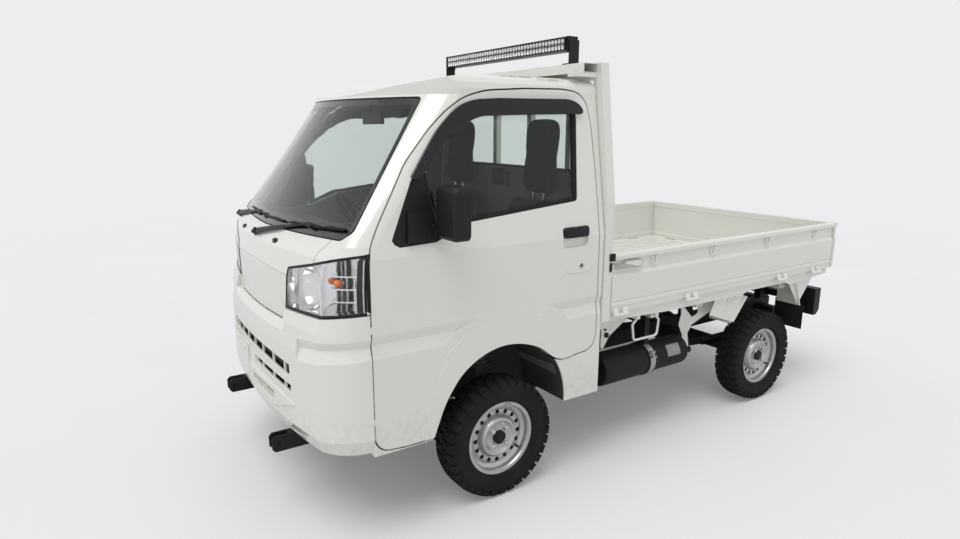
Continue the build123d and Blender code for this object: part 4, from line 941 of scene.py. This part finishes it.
def add_door_fittings():
    for name, side in SIDES:
        body = "door_body_" + name
        rings = []
        for y, grow in HANDLE:
            ring = []
            for step in range(16):
                out = HANDLE_HALF[0] * squared(cos(tau * step / 16), 0.6) * grow
                up = HANDLE_HALF[1] * squared(sin(tau * step / 16), 0.6) * grow
                ring.append((side * (HANDLE_XZ[0] + out), y, HANDLE_XZ[1] + up))
            rings.append(ring)
        Shape().rings(rings).make("door_handle_" + name, PLASTIC, body, angle=60)
        line = Shape().tube([(side * CAB_HALF, y, z) for y, z in SMILE], SMILE_R)
        line.make("door_pressing_" + name, DOOR_PAINT, body)
        face = Shape().rings(around_x(LOCK_FACE, 24, LOCK_YZ, side), caps=False)
        face.make("door_lock_face_" + name, PLASTIC, body, angle=30)
        lock = Shape().rings(around_x(LOCK, 24, LOCK_YZ, side), caps=False)
        lock.slab((side * 0.7318, -0.541, 0.9935), (side * 0.7329, -0.539, 1.0045), 0.0003)
        lock.make("door_lock_" + name, STEEL, body, angle=30)


# Wheels: pressed centre, hexagon nuts, black cap, valve and a clip-on balance weight

# X and radius: pressed centre, then a dark shell that shuts the holes from behind, painted shade for the
# wheel's shadowed inside
CENTRE = [
    (0.6722, 0.099), (0.675, 0.0975), (0.683, 0.0935), (0.6915, 0.089), (0.6958, 0.0845), (0.6972, 0.0795),
    (0.6962, 0.075), (0.6925, 0.0715), (0.6885, 0.069), (0.6868, 0.065), (0.6866, 0.038), (0.688, 0.036),
    (0.688, 0.03),
]
HOLE_SHADE = [
    (0.6625, 0.096), (0.6668, 0.102), (0.6688, 0.112), (0.6668, 0.12), (0.661, 0.126), (0.659, 0.1255),
    (0.664, 0.119), (0.666, 0.112), (0.664, 0.103), (0.66, 0.0965),
]
# X where the nuts stand, and from there on out with the radius: seat of a nut, nut, cap
NUT_X = 0.6866
NUT_PITCH_R = 0.05
SEAT = [(-0.001, 0.0135), (0.002, 0.0135), (0.004, 0.0115)]
NUT = [(0.003, 0.0113), (0.014, 0.0113), (0.016, 0.0095), (0.0175, 0.004)]
CAP = [
    (0.0, 0.0312), (0.007, 0.031), (0.011, 0.03), (0.012, 0.0285), (0.012, 0.025), (0.0105, 0.024),
    (0.0105, 0.0205), (0.015, 0.019), (0.0158, 0.008), (0.0158, 0.0002),
]
VALVE_R = 0.1285
VALVE_TURN = 2.2
# Share of the valve's length, and radius
VALVE = ((0, 0.0062), (0.3, 0.0058), (0.35, 0.004), (0.95, 0.004), (1.0, 0.003))
WEIGHT_X = 0.7052
WEIGHT = ((0.0, 0.15), (0.0033, 0.15), (0.0033, 0.159), (0.0004, 0.16))


def add_wheel_fittings():
    on_wheels("wheel_centre", Shape().rings(around_x(CENTRE, 64), caps=False), SILVER)
    # Black shell behind the holes: painted shade where the wheel's inside lies in shadow
    on_wheels("wheel_hole_shade", Shape().rings(around_x(HOLE_SHADE, 48), loop=True), CHASSIS)
    nuts = Shape()
    for number in range(4):
        turn = math.pi / 4 + tau * number / 4
        middle = (NUT_PITCH_R * sin(turn), NUT_PITCH_R * cos(turn))
        nuts.rings(around_x(SEAT, 24, middle, base=NUT_X))
        nuts.rings(around_x(NUT, 6, middle, base=NUT_X))
    on_wheels("wheel_nuts", nuts, STEEL)
    on_wheels("wheel_cap", Shape().rings(around_x(CAP, 40, base=NUT_X), caps=False), PLASTIC)
    foot = Vector((0.676, VALVE_R * sin(VALVE_TURN), VALVE_R * cos(VALVE_TURN)))
    tip = foot + Vector((0.026, -0.006 * sin(VALVE_TURN), -0.006 * cos(VALVE_TURN)))
    path = [foot.lerp(tip, share) for share, radius in VALVE]
    on_wheels("wheel_valve", Shape().tube(path, [radius for share, radius in VALVE], 12), RUBBER)
    rings = []
    for step in range(7):
        turn = 0.15 + 0.032 * step
        grow = 0.6 if step in (0, 6) else 1.0
        rings.append([(WEIGHT_X + out * grow, radius * sin(turn), radius * cos(turn))
                      for out, radius in WEIGHT])
    on_wheels("balance_weight", Shape().rings(rings), ZINC)


# Silencer: clamp band with its bolt, and a bare label

CAN_X = 0.6
CAN_Z = 0.41
BOLT_R = 0.094
BOLT_Y = 0.03
# Radius and Y
BAND = [(0.0852, 0.012), (0.0878, 0.012), (0.0888, 0.016), (0.0878, 0.022), (0.0878, 0.038), (0.0888, 0.044),
        (0.0878, 0.048), (0.0852, 0.048)]
# Radius, Y, and the turns between which the label lies
LABEL = [(0.0806, 0.15, 0.05, 0.85), (0.0809, 0.152, 0.06, 0.84), (0.0809, 0.246, 0.06, 0.84),
         (0.0806, 0.248, 0.05, 0.85)]
LABEL_STEPS = 12


def on_can(radius, y, turn):
    return Vector((CAN_X + radius * cos(turn), y, CAN_Z + radius * sin(turn)))


def add_silencer_fittings():
    rings = [[on_can(radius, y, tau * step / 64) for step in range(64)] for radius, y in BAND]
    band = Shape().rings(rings, caps=False)
    ear = Vector((0.008, 0.016, 0.006))
    for turn in (0.35, 0.62):
        spot = on_can(BOLT_R, BOLT_Y, turn)
        band.slab(spot - ear, spot + ear, 0.002)
    band.tube([on_can(BOLT_R, BOLT_Y, turn) for turn in (0.25, 0.72)], 0.0042)
    band.make("silencer_band_left", ZINC)
    shares = [step / LABEL_STEPS for step in range(LABEL_STEPS + 1)]
    rings = [[on_can(radius, y, low + (high - low) * share) for share in shares]
             for radius, y, low, high in LABEL]
    Shape().rings(rings, closed=False).make("silencer_label", PLATE)


# Tail lamps: coloured lenses on the rear face, ribbed

LENS_Y = 1.5518
LENS_Z = (0.47, 0.596)
LENS_STEPS = 18
# How far the dips and the tops of the ribs stand out
LENS_RIBS = (0.004, 0.0055)


def add_tail_lenses():
    for name, colour, inner, outer in (("reverse", PALE, 0.541, 0.585), ("turn", AMBER, 0.587, 0.634),
                                       ("brake", RED, 0.636, 0.699)):
        shape = Shape()
        for place, side in SIDES:
            rings = []
            for step in range(LENS_STEPS + 1):
                z = LENS_Z[0] + (LENS_Z[1] - LENS_Z[0]) * step / LENS_STEPS
                front = LENS_Y + LENS_RIBS[step % 2]
                rings.append([(side * inner, LENS_Y, z), (side * outer, LENS_Y, z),
                              (side * (outer - 0.002), front, z), (side * (inner + 0.002), front, z)])
            shape.rings(rings)
        shape.make("tail_lens_" + name, colour, smooth=False)


# Bed: rubber stops on the gate rails, latch levers and their keepers, bracket bolts

# Y and Z
LATCH = [(-0.34, 0.9775), (-0.336, 0.981), (-0.279, 0.981), (-0.264, 0.992), (-0.168, 0.992),
         (-0.152, 0.974), (-0.168, 0.953), (-0.262, 0.9545), (-0.3, 0.956), (-0.338, 0.956)]
# X, and how far the outline is drawn in there
LATCH_EDGE = ((0.7362, 0.0), (0.7418, 0.0), (0.7432, 0.0012), (0.7432, 0.0045), (0.742, 0.006))
# X, and share of the bolt's radius
BOLT_HEAD = ((0.615, 1.0), (0.623, 1.0), (0.626, 0.8), (0.6265, 0.001))


def add_bed_fittings():
    for name, side in SIDES:
        stop = Shape()
        stop.slab((side * 0.7378, -0.374, 0.998), (side * 0.744, -0.338, 1.033), 0.0025)
        stop.slab((side * 0.711, -0.3535, 1.0), (side * 0.738, -0.3472, 1.03), 0.001)
        stop.make("gate_stop_" + name, RUBBER, "gate_body_" + name, angle=30)
        edge = smooth_outline(LATCH, 0.008, 4)
        rings = [[(side * out, y, z) for y, z in inset_outline(edge, back)] for out, back in LATCH_EDGE]
        Shape().rings(rings).make("gate_lever_" + name, ZINC, "gate_body_" + name, angle=30)
        keeper = Shape()
        keeper.slab((side * 0.7372, -0.372, 0.948), (side * 0.7405, -0.357, 0.99), 0.001)
        keeper.slab((side * 0.7372, -0.368, 0.958), (side * 0.7405, -0.3555, 0.966), 0.001)
        keeper.make("latch_keeper_" + name, PLASTIC, angle=30)
        bolts = Shape()
        for y, z, radius in ((-0.25, 0.59, 0.013), (-0.262, 0.622, 0.006)):
            profile = [(out, radius * wide) for out, wide in BOLT_HEAD]
            bolts.rings(around_x(profile, 16, (y, z), side), caps=False)
        bolts.make("bracket_bolts_" + name, RUBBER, angle=30)


# Mirrors: the glass in its pocket

MIRROR_EDGE = [(0.75, 1.2), (0.884, 1.2), (0.884, 1.382), (0.75, 1.382)]


def add_mirror_glass():
    line = dense_outline(smooth_outline(MIRROR_EDGE, 0.024, 5), 0.03)
    for name, side in SIDES:
        rings = [[(side * x, y, z) for x, z in points] for y, points in
                 ((-1.2288, line), (-1.2275, line), (-1.2268, inset_outline(line, 0.0015)))]
        Shape().rings(rings).make("mirror_glass_" + name, MIRROR, "door_body_" + name, angle=30)


# Rear wall of the cab: vent, rubber round the window

REAR_WINDOW = [(-0.54, 1.665), (0.54, 1.665), (0.56, 1.4), (-0.56, 1.4)]


def add_rear_wall():
    vent = Shape()
    vent.slab((-0.108, -0.4465, 1.296), (-0.006, -0.4395, 1.385), 0.002)
    for row in range(6):
        z = 1.306 + 0.0135 * row
        vent.slab((-0.1, -0.449, z), (-0.014, -0.446, z + 0.005), 0.001)
    vent.slab((0.01, -0.447, 1.292), (0.05, -0.4395, 1.372), 0.003)
    vent.make("rear_wall_vent", PLASTIC, smooth=False)
    seal = Shape()
    line = smooth_outline(REAR_WINDOW, 0.03)
    for y in (-0.4065, -0.4405):
        seal.tube([(x, y, z) for x, z in line + line[:1]], 0.006, 8, caps=False)
    seal.make("rear_window_seal", RUBBER)


# Floor, sky, sun and camera

# Light that the floor seems to give the camera, beyond what falls on it
FLOOR_LIFT = 0.14
# The tone that the camera sees behind the truck, and how far from the truck the floor melts into it
BACKDROP = (0.84, 0.845, 0.85)
FLOOR_FADE = (3.5, 13.0)
SKY = (0.94, 0.97, 1.0)
SKY_STRENGTH = 0.6
SUN_FROM = Vector((1.0, -2.0, 5.0))
SUN_STRENGTH = 1.4
SUN_SPREAD = math.radians(40)
# Camera: place, turns in radians, focal length over the picture's width
CAMERA = (2.797, -2.458 + SHIFT_Y, 1.593)
YAW = -0.9829
PITCH = -0.2172
ROLL = 0.0027
FOCAL = 640.3 / 960
SENSOR = 36


def add_floor():
    bpy.ops.mesh.primitive_plane_add(size=400, location=(0, 0, -0.001))
    floor = bpy.context.object
    floor.name = "floor"
    material, graph, shader = new_material("floor")
    lift = graph.times(graph.seen("Camera", "Transmission"), FLOOR_LIFT)
    graph.fill(shader, {
        "Base Color": graph.ramp(graph.noise(0.8), (0.7, 0.7, 0.695), (0.72, 0.72, 0.715)),
        "Roughness": 1.0, "Specular IOR Level": 0.0, "Emission Color": (1, 1, 1), "Emission Strength": lift,
    })
    x, y, z = graph.axes(graph.place())
    away = graph.maths("SQRT", graph.maths("ADD", graph.times(x, x), graph.times(y, y)))
    far = graph.node("Emission", {"Color": BACKDROP})
    graph.show(graph.tree.nodes["Material Output"], graph.ease(away, *FLOOR_FADE), shader, far)
    floor.data.materials.append(material)


def set_world():
    world = bpy.data.worlds.new("sky")
    bpy.context.scene.world = world
    graph = Graph(world)
    graph.tree.nodes.clear()
    back = graph.node("Background", {"Color": BACKDROP})
    light = graph.node("Background", {"Color": SKY, "Strength": SKY_STRENGTH})
    graph.show(graph.node("OutputWorld"), graph.seen("Camera", "Transmission", "Glossy"), light, back)


def add_sun():
    data = bpy.data.lights.new("sun", "SUN")
    data.energy = SUN_STRENGTH
    data.angle = SUN_SPREAD
    lamp = add_object("sun", data)
    lamp.location = SUN_FROM
    lamp.rotation_euler = (-SUN_FROM).to_track_quat("-Z", "Y").to_euler()


def set_camera():
    data = bpy.data.cameras.new("camera")
    camera = add_object("camera", data)
    look = Vector((sin(YAW) * cos(PITCH), cos(YAW) * cos(PITCH), sin(PITCH)))
    rotation = look.to_track_quat("-Z", "Y").to_matrix() @ Matrix.Rotation(ROLL, 3, "Z")
    camera.matrix_world = Matrix.Translation(CAMERA) @ rotation.to_4x4()
    data.sensor_width = SENSOR
    data.lens = FOCAL * SENSOR
    data.clip_start = 0.05
    bpy.context.scene.camera = camera


add_tyres()
add_windscreen_border()
add_window_frames()
add_light_bar()
add_wipers()
add_seats()
add_headlamps()
add_door_fittings()
add_wheel_fittings()
add_silencer_fittings()
add_tail_lenses()
add_bed_fittings()
add_mirror_glass()
add_rear_wall()
add_floor()
set_world()
add_sun()
set_camera()
bpy.context.scene.view_settings.view_transform = "Standard"
